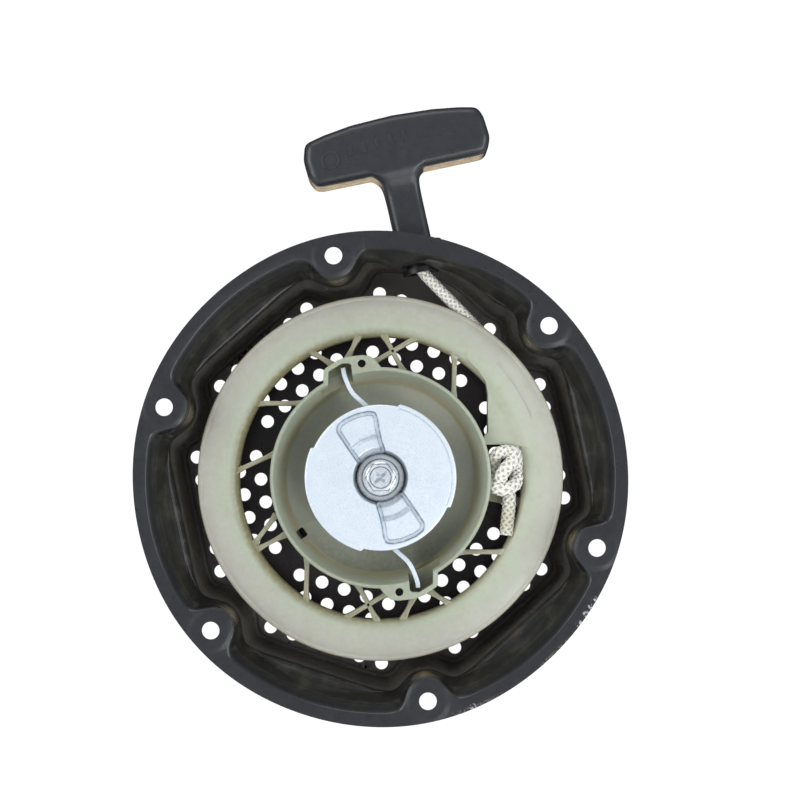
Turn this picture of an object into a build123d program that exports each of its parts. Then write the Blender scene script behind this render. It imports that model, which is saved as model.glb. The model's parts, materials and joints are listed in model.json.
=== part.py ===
from build123d import *
import math
import os

# Recoil starter for a small engine, in millimetres.
# X is to the right and Z up, seen from the engine. Y runs along the starter's axis, away from the engine.
# The origin is the centre of the bolt circle, on the flange's mounting face (y = 0).
# Outlines are drawn in X and Z as seen from the engine, and depths are Y values.

# ---- housing: one pressed steel shell ----
SHEET = 1.6
FLANGE_R = 112.5
BOLT_CIRCLE_R = 103.0
BOLT_HOLE_R = 4.0
BOLT_COUNT = 6
BOLT_START = 42.0             # angle of the first bolt hole, from +X towards +Z
SECTOR = 360.0 / BOLT_COUNT
DOME_DEPTH = 52.0             # mounting face to the outside of the floor
CONE_R = (102.0, 95.0)        # inside radius of the dome, at the flange and at the floor
SIDE = (103.0, 90.0)          # inside half-width across the flat sides; the rope's sector has none
TOP_REACH = 150.0             # how far the outline of the flats is opened there
PAD_R = (10.6, 16.5)          # radius of the lobe round each bolt hole
VENT_R = 3.1
VENT_ROW = 9.25               # from one row of floor holes to the next
VENT_STEP = 11.1              # from hole to hole along a row
VENT_FIRST_ROW = 56.0
VENT_ROWS = 4
VENT_HALF_ANGLE = 22.8
VENT_MAX_R = 88.0

# ---- pull line: the rope's line through the guide and the handle ----
PULL_TILT = 12.6              # turned from +Z towards -X
PULL_FOOT = (14.2, 114.6)     # a point on the line, level with the flange's edge
PULL_Y = 24.0
SEAT_R = 11.5                 # inside radius of the handle's seat in the dome
SEAT_FLOOR = -16.0            # seat's floor and rim, measured along the pull line from its foot
SEAT_RIM = -6.0
SEAT_MOUTH_R = 9.0            # opening in the dome's wall, in front of the rope guide
NECK_R = 5.5                  # rope guide
COLLAR_R = 8.0
COLLAR = 2.4
GUIDE_BORE_R = 3.2
GUIDE_MOUTH_R = 6.0

# ---- rope ----
ROPE_R = 2.7
WRAP_RADII = (69.9, 75.3, 80.7)   # centre line of each layer on the reel
WRAP_GAP = 0.3
BEND_AT = -18.0               # where the rope turns in the guide's mouth, along the pull line
BEND_R = 15.0
LEAD_X = 60.4                 # the rope's straight way down from the inner layer to the knot
LEAD_Z = (36.5, 15.2)
KNOT = (58.0, 3.4)
KNOT_Y = 22.0
KNOT_SIZE = (13.4, 19.0, 10.8)
TAIL_X = 56.9
TAIL_END_Z = -26.4

# ---- handle, measured along the pull line from its foot ----
SHANK_FOOT = -13.2
SHANK_R = 8.6
BAR_LENGTH = 86.0
BAR_DEPTH = 24.0
BAR_BOTTOM = (28.5, 29.8)     # at the middle and at the ends
BAR_TOP = (52.2, 49.0)
BAR_SHIFT = 1.2
BAR_ROUND = 5.0
HANDLE_BORE_R = 3.1
KNOT_HOLE_R = 8.0
KNOT_HOLE_FLOOR = 34.0
HANDLE_KNOT_R = 6.6
CUP_WASHER = 1.2

# ---- reel ----
REEL_R = 84.4
CORE_R = (65.4, 67.0)         # inside and outside of the rope groove's core
GROOVE = (20.6, 27.4)
GROOVE_FLANGE = 2.0
CUP_RIM_Y = 13.0
CUP_RIM_R = (49.1, 50.8)
CUP_ROOT_R = 44.5             # inside radius of the cup at its floor
CUP_FLOOR = (33.5, 36.0)
CHAMBER_R = (46.0, 48.2)      # spring chamber behind the cup
REEL_BACK_Y = 48.6
HUB_R = 12.0
HUB_FRONT_Y = 17.6
RIB = 2.1
RIB_DEPTHS = (19.0, 28.0)
LEDGE_DEPTHS = (26.9, 28.8)   # the rib below the knot stands further back
POCKET_FLOOR = (26.5, 28.5)
LUG_HOLE = (-8.65, 52.4)
LUG_HOLE_R = 1.85
SLOT_ANGLE = 215.2
SLOT = (43.2, 47.0, 4.6)      # inner and outer radius, and width

# ---- centre stack ----
POST_R = 7.5
POST_FRONT_Y = 13.2
POST_FOOT_R = 12.0
POST_FOOT = 3.0
RIVET_R = (6.0, 9.0)
RIVET_HEAD = 1.5
BUSH_R = 9.0
FIT = 0.05                    # radial clearance of a running fit
SCREW_R = 4.0
SCREW_LENGTH = 20.0
SCREW_FLANGE = (8.4, 1.2)
HEX_FLATS = 12.0
HEX_HEIGHT = 5.0
RECESS = (1.5, 6.8, 2.6)      # cross recess: bar width, bar length, depth
WASHER_R = 10.9
WASHER = 1.8
SPRING_DEPTHS = (37.4, 46.6)  # recoil spring
SPRING_R = (9.6, 43.6)
SPRING_TURNS = 9
SPRING_STRIP = 0.9

# ---- friction plate and claws ----
PLATE_R = 34.0
WING_R = 35.4
WING = (-23.6, 76.0)
PLATE_FRONT_Y = 10.2
PLATE = 1.2
WELL_R = 12.6
WELL_DEPTH = 3.6
ARM_ANGLE = 114.0
ARM_HALF = 15.5
ARM_R = 30.8
SKIRT_BACK_Y = 14.6
PLATE_BORE_R = 7.7
CLAW = 2.0
CLAW_DEPTHS = (16.4, 25.4)
CLAW_TIP = (-17.0, 49.3)
CLAW_BEND = (-11.4, 36.7)
CLAW_PIVOT = (11.0, 17.5)
CLAW_REACH = 43.8   # from the pivot to the end of the room that a claw tip needs in the wall of the cup
CLAW_PATH = ((-16, 46), (-22, 35.5), (-28, 35.5), (-29, 41), (-24.1, 45))   # where that room lies
CLAW_EYE_R = 4.4
PIN_R = 2.5
PIN_DEPTHS = (15.6, 35.0)
BOSS_FRONT_Y = 29.4
CLAW_SPRING = (3.1, 4.3, 26.0, 28.8)   # inner and outer radius, front and back


def slab(outline, front, back):
    """An outline filled from depth front to depth back."""
    return extrude(Plane.XZ.offset(-back) * outline, back - front)


def disc(radius, front, back):
    return slab(Circle(radius), front, back)


def ring(outer, inner, front, back):
    return slab(Circle(outer) - Circle(inner), front, back)


def turned(*points):
    """Revolve an outline of (radius, depth) points about the starter's axis."""
    return revolve(make_face(Polyline(*points, close=True)), Axis.Y)


def outline(*points):
    return make_face(Polyline(*points, close=True))


def polar(radius, angle):
    return (radius * math.cos(math.radians(angle)), radius * math.sin(math.radians(angle)))


def sector(radius, start, end):
    """A pie slice from angle start to angle end, both in degrees and less than 180 apart."""
    reach = radius * 3
    far = [polar(reach, angle) for angle in (start, (start + end) / 2, end)]
    return Circle(radius) & outline((0, 0), *far)


def bar(start, end, width):
    """A straight strip of the given width between two points."""
    dx, dz = end[0] - start[0], end[1] - start[1]
    middle = Pos((start[0] + end[0]) / 2, (start[1] + end[1]) / 2)
    return middle * Rot(0, 0, math.degrees(math.atan2(dz, dx))) * Rectangle(math.hypot(dx, dz), width)


def half_turn(shape):
    """The same shape turned half a turn about the starter's axis."""
    return Rot(0, 180, 0) * shape


def pull_plane(distance=0.0):
    """A plane square to the pull line, with its normal along the pull."""
    tilt = math.radians(PULL_TILT)
    plane = Plane(origin=(PULL_FOOT[0], PULL_Y, PULL_FOOT[1]), x_dir=(math.cos(tilt), 0, math.sin(tilt)),
                  z_dir=(-math.sin(tilt), 0, math.cos(tilt)))
    return plane.offset(distance)


def along_pull(radius, start, end):
    """A round bar on the pull line, between two distances from its foot."""
    return extrude(pull_plane(start) * Circle(radius), end - start)


def pull_point(distance):
    return pull_plane(distance).origin


def write(node, shape):
    export_step(shape, f"parts/{node}.step")


# ---------------------------------------------------------------- housing

def bolt_centres():
    return [polar(BOLT_CIRCLE_R, BOLT_START + SECTOR * k) for k in range(BOLT_COUNT)]


def at_depth(pair, y):
    """A size given at the flange and at the floor, worked out for depth y."""
    return pair[0] + (pair[1] - pair[0]) * y / DOME_DEPTH


def dome_form(inset, front, back):
    """The dome as a solid, with its surface moved inwards by inset."""
    cone = [at_depth(CONE_R, y) - inset for y in (front, back)]
    form = turned((0, front), (cone[0], front), (cone[1], back), (0, back))
    flats = []
    for y in (front, back):
        corner = (at_depth(SIDE, y) - inset) / math.cos(math.radians(SECTOR / 2))
        points = [polar(corner, BOLT_START + SECTOR * k) for k in range(1, BOLT_COUNT + 1)]
        points += [polar(TOP_REACH, BOLT_START + SECTOR * k / 2) for k in range(3)]
        flats.append(Plane.XZ.offset(-y) * outline(*points))
    form = form & loft(flats)
    pad = [at_depth(PAD_R, y) + inset for y in (front, back)]
    lobe = turned((0, front), (pad[0], front), (pad[1], back), (0, back))
    for x, z in bolt_centres():
        form -= Pos(x, 0, z) * lobe
    return form


def vent_centres():
    """Rows of holes square to the middle of each sector, every other row shifted by half a step."""
    centres = []
    for k in range(BOLT_COUNT):
        middle = math.radians(BOLT_START + SECTOR / 2 + SECTOR * k)
        for row in range(VENT_ROWS):
            u = VENT_FIRST_ROW + VENT_ROW * row
            shift = VENT_STEP / 2 if row % 2 else 0.0
            for i in range(-6, 6):
                v = i * VENT_STEP + shift
                if abs(math.degrees(math.atan2(v, u))) < VENT_HALF_ANGLE and math.hypot(u, v) < VENT_MAX_R:
                    x = u * math.cos(middle) - v * math.sin(middle)
                    z = u * math.sin(middle) + v * math.cos(middle)
                    centres.append((x, z))
    return centres


def holes(centres, radius, front, back):
    return slab(Sketch() + [Pos(x, z) * Circle(radius) for x, z in centres], front, back)


def housing_shell():
    shell = disc(FLANGE_R, 0, SHEET) + dome_form(-SHEET, 0, DOME_DEPTH) - dome_form(0, -1, DOME_DEPTH - SHEET)
    collar = along_pull(SEAT_R + SHEET, SEAT_FLOOR - 2 * SEAT_R, SEAT_RIM)
    collar -= dome_form(0, -1, DOME_DEPTH - SHEET)
    shell += collar + along_pull(SEAT_R + SHEET, SEAT_FLOOR - SHEET, SEAT_RIM)
    shell -= along_pull(SEAT_R, SEAT_FLOOR, SEAT_FLOOR + 60)
    shell -= along_pull(SEAT_MOUTH_R, SEAT_FLOOR - 3 * SEAT_R, SEAT_FLOOR - SHEET)
    shell -= along_pull(NECK_R, SEAT_FLOOR - 3 * SHEET, SEAT_FLOOR + 1)
    shell -= holes(bolt_centres(), BOLT_HOLE_R, -1, SHEET + 1)
    shell -= holes(vent_centres(), VENT_R, DOME_DEPTH - 5, DOME_DEPTH + 1)
    return shell - disc(RIVET_R[0], DOME_DEPTH - 5, DOME_DEPTH + 1)


def centre_post():
    floor_y = DOME_DEPTH - SHEET
    post = disc(POST_R, POST_FRONT_Y, floor_y) + disc(POST_FOOT_R, floor_y - POST_FOOT, floor_y)
    post += disc(RIVET_R[0], floor_y, DOME_DEPTH) + disc(RIVET_R[1], DOME_DEPTH, DOME_DEPTH + RIVET_HEAD)
    return post - disc(SCREW_R + FIT, POST_FRONT_Y - 1, POST_FRONT_Y + SCREW_LENGTH + 2)


def plate_washer():
    return ring(WASHER_R, SCREW_R + FIT, POST_FRONT_Y - WASHER, POST_FRONT_Y)


def centre_screw():
    seat = POST_FRONT_Y - WASHER
    neck = seat - SCREW_FLANGE[1]
    head = slab(RegularPolygon(HEX_FLATS / 2, 6, major_radius=False), neck - HEX_HEIGHT, neck)
    top = neck - HEX_HEIGHT
    cone = turned((0, top), (HEX_FLATS / 2 - 0.6, top), (HEX_FLATS / 2 + 1.2, neck), (0, neck))
    screw = (head & cone) + disc(SCREW_FLANGE[0], neck, seat) + disc(SCREW_R, seat, seat + SCREW_LENGTH)
    for angle in (45, 135):
        arm = Rot(0, 0, angle) * Rectangle(RECESS[1], RECESS[0])
        screw -= slab(arm, neck - HEX_HEIGHT - 1, neck - HEX_HEIGHT + RECESS[2])
    return screw


def rope_guide():
    inner, outer = SEAT_FLOOR - SHEET, SEAT_FLOOR
    guide = along_pull(NECK_R, inner, outer) + along_pull(COLLAR_R, inner - COLLAR, inner)
    guide += along_pull(COLLAR_R, outer, outer + COLLAR)
    guide -= along_pull(GUIDE_BORE_R, inner - COLLAR - 1, outer + COLLAR + 1)
    mouth = loft([pull_plane(inner - COLLAR) * Circle(GUIDE_MOUTH_R),
                  pull_plane(inner + 1) * Circle(GUIDE_BORE_R)])
    return guide - mouth


# ---------------------------------------------------------------- rope

def rope_leaves():
    """The point where the rope's straight run touches the outer layer on the reel."""
    bend = pull_point(BEND_AT)
    reach = math.hypot(bend.X, bend.Z)
    angle = math.atan2(bend.Z, bend.X) - math.acos(WRAP_RADII[-1] / reach)
    return Vector(WRAP_RADII[-1] * math.cos(angle), PULL_Y, WRAP_RADII[-1] * math.sin(angle))


def tube(path, radius):
    start = Plane(origin=path @ 0, z_dir=path % 0)
    return sweep(start * Circle(radius), path)


def rope_run():
    """From just clear of the wound rope to the handle's foot, with one bend in the guide's mouth."""
    touch, bend = rope_leaves(), pull_point(BEND_AT)
    run = (bend - touch).normalized()
    clear = WRAP_RADII[-1] + 2 * ROPE_R + WRAP_GAP
    start = touch + run * math.sqrt(clear ** 2 - WRAP_RADII[-1] ** 2)
    path = FilletPolyline(start, bend, pull_point(SHANK_FOOT - 0.3), radius=BEND_R)
    rope = tube(path, ROPE_R)
    print(f"rope_run length {path.length:.1f}, volume {rope.volume:.1f}, "
          f"section x length {math.pi * ROPE_R ** 2 * path.length:.1f}")
    return rope


def rope_wraps():
    inside, outside = WRAP_RADII[0] - ROPE_R, WRAP_RADII[-1] + ROPE_R
    wound = ring(outside, inside, PULL_Y - ROPE_R, PULL_Y + ROPE_R)
    return wound + lead_tube(ROPE_R - 0.1)


def lead_tube(radius):
    return tube(Line((LEAD_X, PULL_Y, LEAD_Z[0]), (LEAD_X, PULL_Y, LEAD_Z[1])), radius)


def rope_knot():
    x, z = KNOT
    half = [size / 2 for size in KNOT_SIZE]
    knot = Pos(x, KNOT_Y, z) * scale(Sphere(1), by=(half[0], half[2], half[1]))
    tail = tube(Line((TAIL_X, KNOT_Y - 0.5, z), (TAIL_X, KNOT_Y - 0.5, TAIL_END_Z)), ROPE_R)
    neck = tube(Line((LEAD_X, PULL_Y, z), (LEAD_X, PULL_Y, LEAD_Z[1])), ROPE_R - 0.1)
    return knot + tail + neck


# ---------------------------------------------------------------- reel

LUG = ((0.2, 51.0), (-2.7, 54.4), (-5.1, 55.9), (-8.0, 56.4), (-15.5, 55.6), (-20.0, 53.8), (-24.8, 50.7),
       (-26.2, 49.4), (-26.4, 43.0), (-20.0, 40.0), (0.0, 45.0))
POCKET = ((-13.6, 52.5), (-12.9, 46.5), (-12.6, 42.0), (-22.0, 37.5), (-24.1, 42.5), (-24.1, 48.8),
          (-17.8, 52.5))

# Ribs between the cup and the groove ring. Most come in pairs, half a turn apart.
PAIRED_RIBS = (((-56.9, 34.4), (-36.7, 34.4)), ((-31.8, 58.4), (-23.2, 52.8)),
               ((-10.8, 64.8), (-14.9, 56.0)), ((-3.7, 53.2), (16.0, 64.8)), ((2.0, 65.4), (10.4, 49.7)),
               ((34.5, 56.4), (33.9, 37.9)))
SINGLE_RIBS = (((-67.0, 3.0), (-49.0, 11.1)), ((-58.5, -30.7), (-48.9, -18.0)),
               ((-56.9, -33.1), (-44.9, -26.8)))
LEDGE = ((67.0, -11.9), (49.0, -8.3))
BLOCK = ((49.6, 41.0), (49.6, 21.0), (46.5, 17.8), (48.8, 15.5), (64.5, 15.5), (66.0, 30.0), (60.0, 45.0),
         (40.5, 52.0))


def reel_ribs():
    gap = Circle(CORE_R[0] + 0.5) - Circle(CUP_RIM_R[0])
    strips = Sketch() + [bar(a, b, RIB) for a, b in SINGLE_RIBS]
    for a, b in PAIRED_RIBS:
        strip = bar(a, b, RIB)
        strips += [strip, Rot(0, 0, 180) * strip]
    return slab(strips & gap, *RIB_DEPTHS) + slab(bar(*LEDGE, 2 * RIB) & gap, *LEDGE_DEPTHS)


def rope_block():
    """The solid corner that the rope passes through on its way to the knot."""
    block = outline(*BLOCK) & Circle(CORE_R[0] + 0.5)
    return slab(block - Circle(CUP_RIM_R[0]), GROOVE[0] - GROOVE_FLANGE, GROOVE[1] + GROOVE_FLANGE)


def reel():
    cup = turned((BUSH_R, HUB_FRONT_Y), (HUB_R, HUB_FRONT_Y), (HUB_R, CUP_FLOOR[0]),
                 (CUP_ROOT_R, CUP_FLOOR[0]), (CUP_RIM_R[0], CUP_RIM_Y), (CUP_RIM_R[1], CUP_RIM_Y),
                 (CHAMBER_R[1], CUP_FLOOR[1]),
                 (CHAMBER_R[1], REEL_BACK_Y), (CHAMBER_R[0], REEL_BACK_Y), (CHAMBER_R[0], CUP_FLOOR[1]),
                 (BUSH_R, CUP_FLOOR[1]))
    front, back = GROOVE[0] - GROOVE_FLANGE, GROOVE[1] + GROOVE_FLANGE
    groove = turned((CORE_R[0], front), (REEL_R, front), (REEL_R, GROOVE[0]), (CORE_R[1], GROOVE[0]),
                    (CORE_R[1], GROOVE[1]), (REEL_R, GROOVE[1]), (REEL_R, back), (CORE_R[0], back))
    body = cup + groove + reel_ribs() + rope_block()
    inside = Circle(CUP_RIM_R[0])
    for turn in (0, 180):
        spin = Rot(0, 0, turn)
        lug = spin * outline(*LUG)
        body += slab(lug - inside, CUP_RIM_Y, POCKET_FLOOR[1])
        body -= slab(spin * outline(*POCKET), CUP_RIM_Y - 1, POCKET_FLOOR[0])
        body -= slab(spin * Pos(*LUG_HOLE) * Circle(LUG_HOLE_R), CUP_RIM_Y - 1, POCKET_FLOOR[1] + 1)
        pivot = spin * Pos(*CLAW_PIVOT)
        sweep = pivot * Circle(CLAW_REACH) & spin * outline(*CLAW_PATH)
        body -= slab(sweep, CLAW_DEPTHS[0] - 0.4, POCKET_FLOOR[0])
        body += slab(pivot * Circle(PIN_R + 2.7), BOSS_FRONT_Y, CUP_FLOOR[0])
        body -= slab(pivot * Circle(PIN_R), BOSS_FRONT_Y - 1, PIN_DEPTHS[1])
    slot = Rot(0, 0, SLOT_ANGLE) * Pos((SLOT[0] + SLOT[1]) / 2, 0) * Rectangle(SLOT[1] - SLOT[0], SLOT[2])
    body -= slab(slot, CUP_FLOOR[0] - 7, CUP_FLOOR[1] + 1)
    return body - lead_tube(ROPE_R + 0.2)


def reel_bush():
    return ring(BUSH_R, POST_R + FIT, HUB_FRONT_Y, CUP_FLOOR[1])


def spiral(offset):
    """Half circles of growing radius that make the spring strip's line, moved outwards by offset."""
    growth = (SPRING_R[1] - SPRING_R[0]) / SPRING_TURNS
    arcs = []
    for half in range(2 * SPRING_TURNS):
        side = 1 if half % 2 == 0 else -1
        centre = -side * growth / 4
        radius = SPRING_R[0] + growth / 4 + growth / 2 * half + offset
        ends = (centre + side * radius, 0), (centre - side * radius, 0)
        arcs.append(ThreePointArc(ends[0], (centre, side * radius), ends[1]))
    return arcs


def recoil_spring():
    outer, inner = spiral(SPRING_STRIP / 2), spiral(-SPRING_STRIP / 2)
    ends = [Line(outer[0] @ 0, inner[0] @ 0), Line(outer[-1] @ 1, inner[-1] @ 1)]
    strip = make_face(outer + inner + ends)
    hook = Pos(SPRING_R[0] - 0.9, 0) * Rectangle(2.0, SPRING_STRIP)
    return slab(strip + hook, *SPRING_DEPTHS)


# ---------------------------------------------------------------- friction plate and claws

def well_outline():
    """The central well with its two recessed arms."""
    shape = Sketch() + Circle(WELL_R)
    for turn in (0, 180):
        shape += sector(ARM_R, ARM_ANGLE + turn - ARM_HALF, ARM_ANGLE + turn + ARM_HALF)
    return shape


def friction_plate():
    well_floor = PLATE_FRONT_Y + WELL_DEPTH
    rim = Sketch() + Circle(PLATE_R)
    for turn in (0, 180):
        rim += sector(WING_R, WING[0] + turn, WING[1] + turn)
    plate = slab(rim, PLATE_FRONT_Y, PLATE_FRONT_Y + PLATE)
    for turn in (0, 180):
        wing = sector(WING_R, WING[0] + turn, WING[1] + turn) - Circle(WING_R - PLATE)
        plate += slab(wing, PLATE_FRONT_Y, SKIRT_BACK_Y)
    plate += slab(well_outline(), PLATE_FRONT_Y, well_floor + PLATE)
    plate -= slab(offset(well_outline(), amount=-PLATE), PLATE_FRONT_Y - 1, well_floor)
    return plate - disc(PLATE_BORE_R, well_floor - 1, well_floor + PLATE + 1)


def friction_spring():
    back = HUB_FRONT_Y - 0.1
    front = PLATE_FRONT_Y + WELL_DEPTH + PLATE + 0.3
    inner, outer, sheet = POST_R + 0.4, HUB_R - 1, 0.9
    return turned((inner, front), (outer, back - sheet), (outer, back), (inner, front + sheet))


def claw():
    strip = bar(CLAW_TIP, CLAW_BEND, CLAW) + bar(CLAW_BEND, CLAW_PIVOT, CLAW)
    strip += Pos(*CLAW_BEND) * Circle(CLAW / 2)
    eye = Pos(*CLAW_PIVOT) * Circle(CLAW_EYE_R)
    return slab(strip + eye - Pos(*CLAW_PIVOT) * Circle(PIN_R + FIT), *CLAW_DEPTHS)


def claw_pin():
    return slab(Pos(*CLAW_PIVOT) * Circle(PIN_R), *PIN_DEPTHS)


def claw_spring():
    inner, outer, front, back = CLAW_SPRING
    coil = Circle(outer) - Circle(inner)
    legs = Pos(outer - 0.5, -4) * Rectangle(0.9, 8) + Pos(-4, outer - 0.5) * Rectangle(8, 0.9)
    return slab(Pos(*CLAW_PIVOT) * (coil + (legs - Circle(inner))), front, back)


# ---------------------------------------------------------------- handle

def grip_outline():
    """The bar seen square on, in the plane of the pull: x across it, y along the pull."""
    half = BAR_LENGTH / 2
    bottom = ThreePointArc((-half, BAR_BOTTOM[1]), (0, BAR_BOTTOM[0]), (half, BAR_BOTTOM[1]))
    top = ThreePointArc((half, BAR_TOP[1]), (0, BAR_TOP[0]), (-half, BAR_TOP[1]))
    edges = [bottom, Line(bottom @ 1, top @ 0), top, Line(top @ 1, bottom @ 0)]
    return Pos(BAR_SHIFT, 0) * fillet(make_face(edges).vertices(), BAR_ROUND)


def handle():
    tilt = Rot(0, 0, PULL_TILT)
    grip = Pos(*PULL_FOOT) * tilt * grip_outline()
    grip = slab(grip, PULL_Y - BAR_DEPTH / 2, PULL_Y + BAR_DEPTH / 2)
    flats = grip.faces().sort_by(Axis.Y)
    grip = fillet(flats[0].edges() + flats[-1].edges(), BAR_ROUND - 0.5)
    grip += along_pull(SHANK_R, SHANK_FOOT, BAR_BOTTOM[0] + 6)
    grip -= along_pull(HANDLE_BORE_R, SHANK_FOOT - 1, KNOT_HOLE_FLOOR + 1)
    return grip - along_pull(KNOT_HOLE_R, KNOT_HOLE_FLOOR, BAR_TOP[0] + 5)


def grip_reinforcement():
    washer = along_pull(KNOT_HOLE_R - 0.2, KNOT_HOLE_FLOOR, KNOT_HOLE_FLOOR + CUP_WASHER)
    return washer - along_pull(HANDLE_BORE_R, KNOT_HOLE_FLOOR - 1, KNOT_HOLE_FLOOR + CUP_WASHER + 1)


def rope_in_handle():
    return along_pull(ROPE_R, SHANK_FOOT, KNOT_HOLE_FLOOR + CUP_WASHER + 1)


def handle_knot():
    base = KNOT_HOLE_FLOOR + CUP_WASHER
    knot = pull_plane(base + HANDLE_KNOT_R) * Sphere(HANDLE_KNOT_R)
    return knot - along_pull(ROPE_R, base - 1, base + 1) - along_pull(HANDLE_KNOT_R, base - 3, base)


def main():
    os.makedirs("parts", exist_ok=True)
    write("housing_shell", housing_shell())
    write("centre_post", centre_post())
    write("plate_washer", plate_washer())
    write("centre_screw", centre_screw())
    write("rope_guide", rope_guide())
    write("rope_run", rope_run())
    write("rope_wraps", rope_wraps())
    write("rope_knot", rope_knot())
    write("reel", reel())
    write("reel_bush", reel_bush())
    write("recoil_spring", recoil_spring())
    write("friction_plate", friction_plate())
    write("friction_spring", friction_spring())
    for letter, place in (("a", lambda shape: shape), ("b", half_turn)):
        write(f"claw_{letter}", place(claw()))
        write(f"claw_pin_{letter}", place(claw_pin()))
        write(f"claw_spring_{letter}", place(claw_spring()))
    write("handle", handle())
    write("grip_reinforcement", grip_reinforcement())
    write("rope_in_handle", rope_in_handle())
    write("handle_knot", handle_knot())


if __name__ == "__main__":
    main()
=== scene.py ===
import bpy
import bmesh
import json
import math
import numpy as np
from mathutils import Matrix, Vector, geometry


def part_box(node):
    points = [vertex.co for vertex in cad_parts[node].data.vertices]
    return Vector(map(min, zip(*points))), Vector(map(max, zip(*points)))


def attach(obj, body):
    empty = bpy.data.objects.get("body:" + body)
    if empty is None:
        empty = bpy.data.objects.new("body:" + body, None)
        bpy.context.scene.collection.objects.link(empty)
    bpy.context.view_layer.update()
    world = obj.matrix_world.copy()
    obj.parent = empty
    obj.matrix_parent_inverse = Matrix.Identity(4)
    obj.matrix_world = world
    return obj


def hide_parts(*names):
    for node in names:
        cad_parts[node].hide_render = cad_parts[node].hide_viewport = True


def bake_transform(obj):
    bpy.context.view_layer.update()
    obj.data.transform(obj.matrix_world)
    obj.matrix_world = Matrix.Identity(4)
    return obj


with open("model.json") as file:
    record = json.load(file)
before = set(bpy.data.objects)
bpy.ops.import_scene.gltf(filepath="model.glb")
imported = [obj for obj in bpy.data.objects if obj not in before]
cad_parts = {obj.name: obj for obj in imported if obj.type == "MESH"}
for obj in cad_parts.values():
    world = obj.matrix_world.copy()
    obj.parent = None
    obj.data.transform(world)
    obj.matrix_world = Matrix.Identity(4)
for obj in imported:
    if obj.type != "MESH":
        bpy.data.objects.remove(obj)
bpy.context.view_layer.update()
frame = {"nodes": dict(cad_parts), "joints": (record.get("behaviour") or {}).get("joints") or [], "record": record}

# A recoil starter, seen from the engine side. Geometry is worked out in millimetres in the row frame
# (X right, Z up, Y away from the engine) and turned into metres when a mesh is made.

MM = 0.001


def node_mm(name):
    """A CAD node's lowest and highest corner in millimetres."""
    low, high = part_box(name)
    return [v / MM for v in low], [v / MM for v in high]


# ---- sizes read from the frame ----
shell_high = node_mm("housing_shell")[1]
plate_low = node_mm("friction_plate")[0]
screw_low, screw_high = node_mm("centre_screw")
claw_low, claw_high = node_mm("claw_a")
wraps_low, wraps_high = node_mm("rope_wraps")

JOINTS = {joint["name"]: joint for joint in frame["joints"]}
PULL = Vector(JOINTS["handle_pull"]["axis"])
BOLTS = next(m for m in frame["record"]["mounts"] if m["name"] == "flange_bolts")
BOLT_CIRCLE = BOLTS["dims"]["pcd_mm"] / 2
BOLT_HOLE = BOLTS["dims"]["hole_r_mm"]
FLANGE = shell_high[0]
DOME_DEPTH = shell_high[1]
ROPE_Y = (wraps_low[1] + wraps_high[1]) / 2

# ---- sizes of the pieces made here ----
SHEET = 1.6
FLOOR_Y = DOME_DEPTH - SHEET
FIRST_BOLT = 42.0             # angle of the first bolt, from X towards Z
SECTOR = 60.0                 # from bolt to bolt
TOP_SECTOR = FIRST_BOLT + SECTOR / 2
CHIPS = (-29.7, -31.3, -33.5, -36.3, -68.0)     # angles at which the flange's rim has lost its paint
SCUFFS = (-43.0, -47.0, -64.0, -70.0)           # and where it is rubbed
PRESS_LINES = 0.95            # from one line that the press has drawn to the next
VENT = dict(radius=3.05, row=9.25, step=11.1, first=56.0, rows=4, half_angle=23.3, reach=88.8)
PULL_FOOT = Vector((14.2, ROPE_Y, 114.6))       # where the pull line passes the flange's edge
BEND_AT = -18.0               # where the rope bends in its guide, along the pull line
ROPE = 2.7                    # radius of the rope
LAYERS = (69.9, 75.3, 80.7)   # radius of each wound layer's middle
BORE_FLOOR = 0.001            # a turned outline ends this far from its axis, where it would close on a line


def srgb(r, g, b):
    """A colour given in 0 to 255 as the linear colour that shaders take."""
    def linear(c):
        c /= 255
        return c / 12.92 if c <= 0.04045 else ((c + 0.055) / 1.055) ** 2.4
    return (linear(r), linear(g), linear(b), 1.0)


def polar(radius, degrees):
    return (radius * math.cos(math.radians(degrees)), radius * math.sin(math.radians(degrees)))


# ================================================================ mesh helpers

WELD = 0.00001                # vertices closer than this are made one


def new_object(name, vertices, faces, sharp=35.0, painted_shade=None):
    """An object from vertices in millimetres, smooth except along edges sharper than the given angle.

    A painted shade from 0 to 1 can be given for each vertex, which the piece's material reads."""
    mesh = bpy.data.meshes.new(name)
    mesh.from_pydata([tuple(c * MM for c in v) for v in vertices], [], faces)
    if painted_shade is not None:
        mesh.attributes.new("painted_shade", "FLOAT", "POINT").data.foreach_set("value", np.asarray(painted_shade, np.float32))
    mesh.validate()
    obj = bpy.data.objects.new(name, mesh)
    bpy.context.scene.collection.objects.link(obj)
    tidy_normals(obj)
    shade(obj, sharp)
    return obj


def tidy_normals(obj):
    bm = bmesh.new()
    bm.from_mesh(obj.data)
    bmesh.ops.remove_doubles(bm, verts=bm.verts, dist=WELD)
    bmesh.ops.recalc_face_normals(bm, faces=bm.faces)
    bm.to_mesh(obj.data)
    bm.free()


def shade(obj, sharp=35.0):
    """Smooth shading, except across edges sharper than the given angle in degrees."""
    obj.data.shade_smooth()
    obj.data.set_sharp_from_angle(angle=math.radians(sharp))


def bake(obj, sharp=35.0):
    """Replace an object's mesh by what its modifiers make of it."""
    depsgraph = bpy.context.evaluated_depsgraph_get()
    mesh = bpy.data.meshes.new_from_object(obj.evaluated_get(depsgraph), depsgraph=depsgraph)
    obj.modifiers.clear()
    old = obj.data
    obj.data = mesh
    bpy.data.meshes.remove(old)
    shade(obj, sharp)
    return obj


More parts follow.
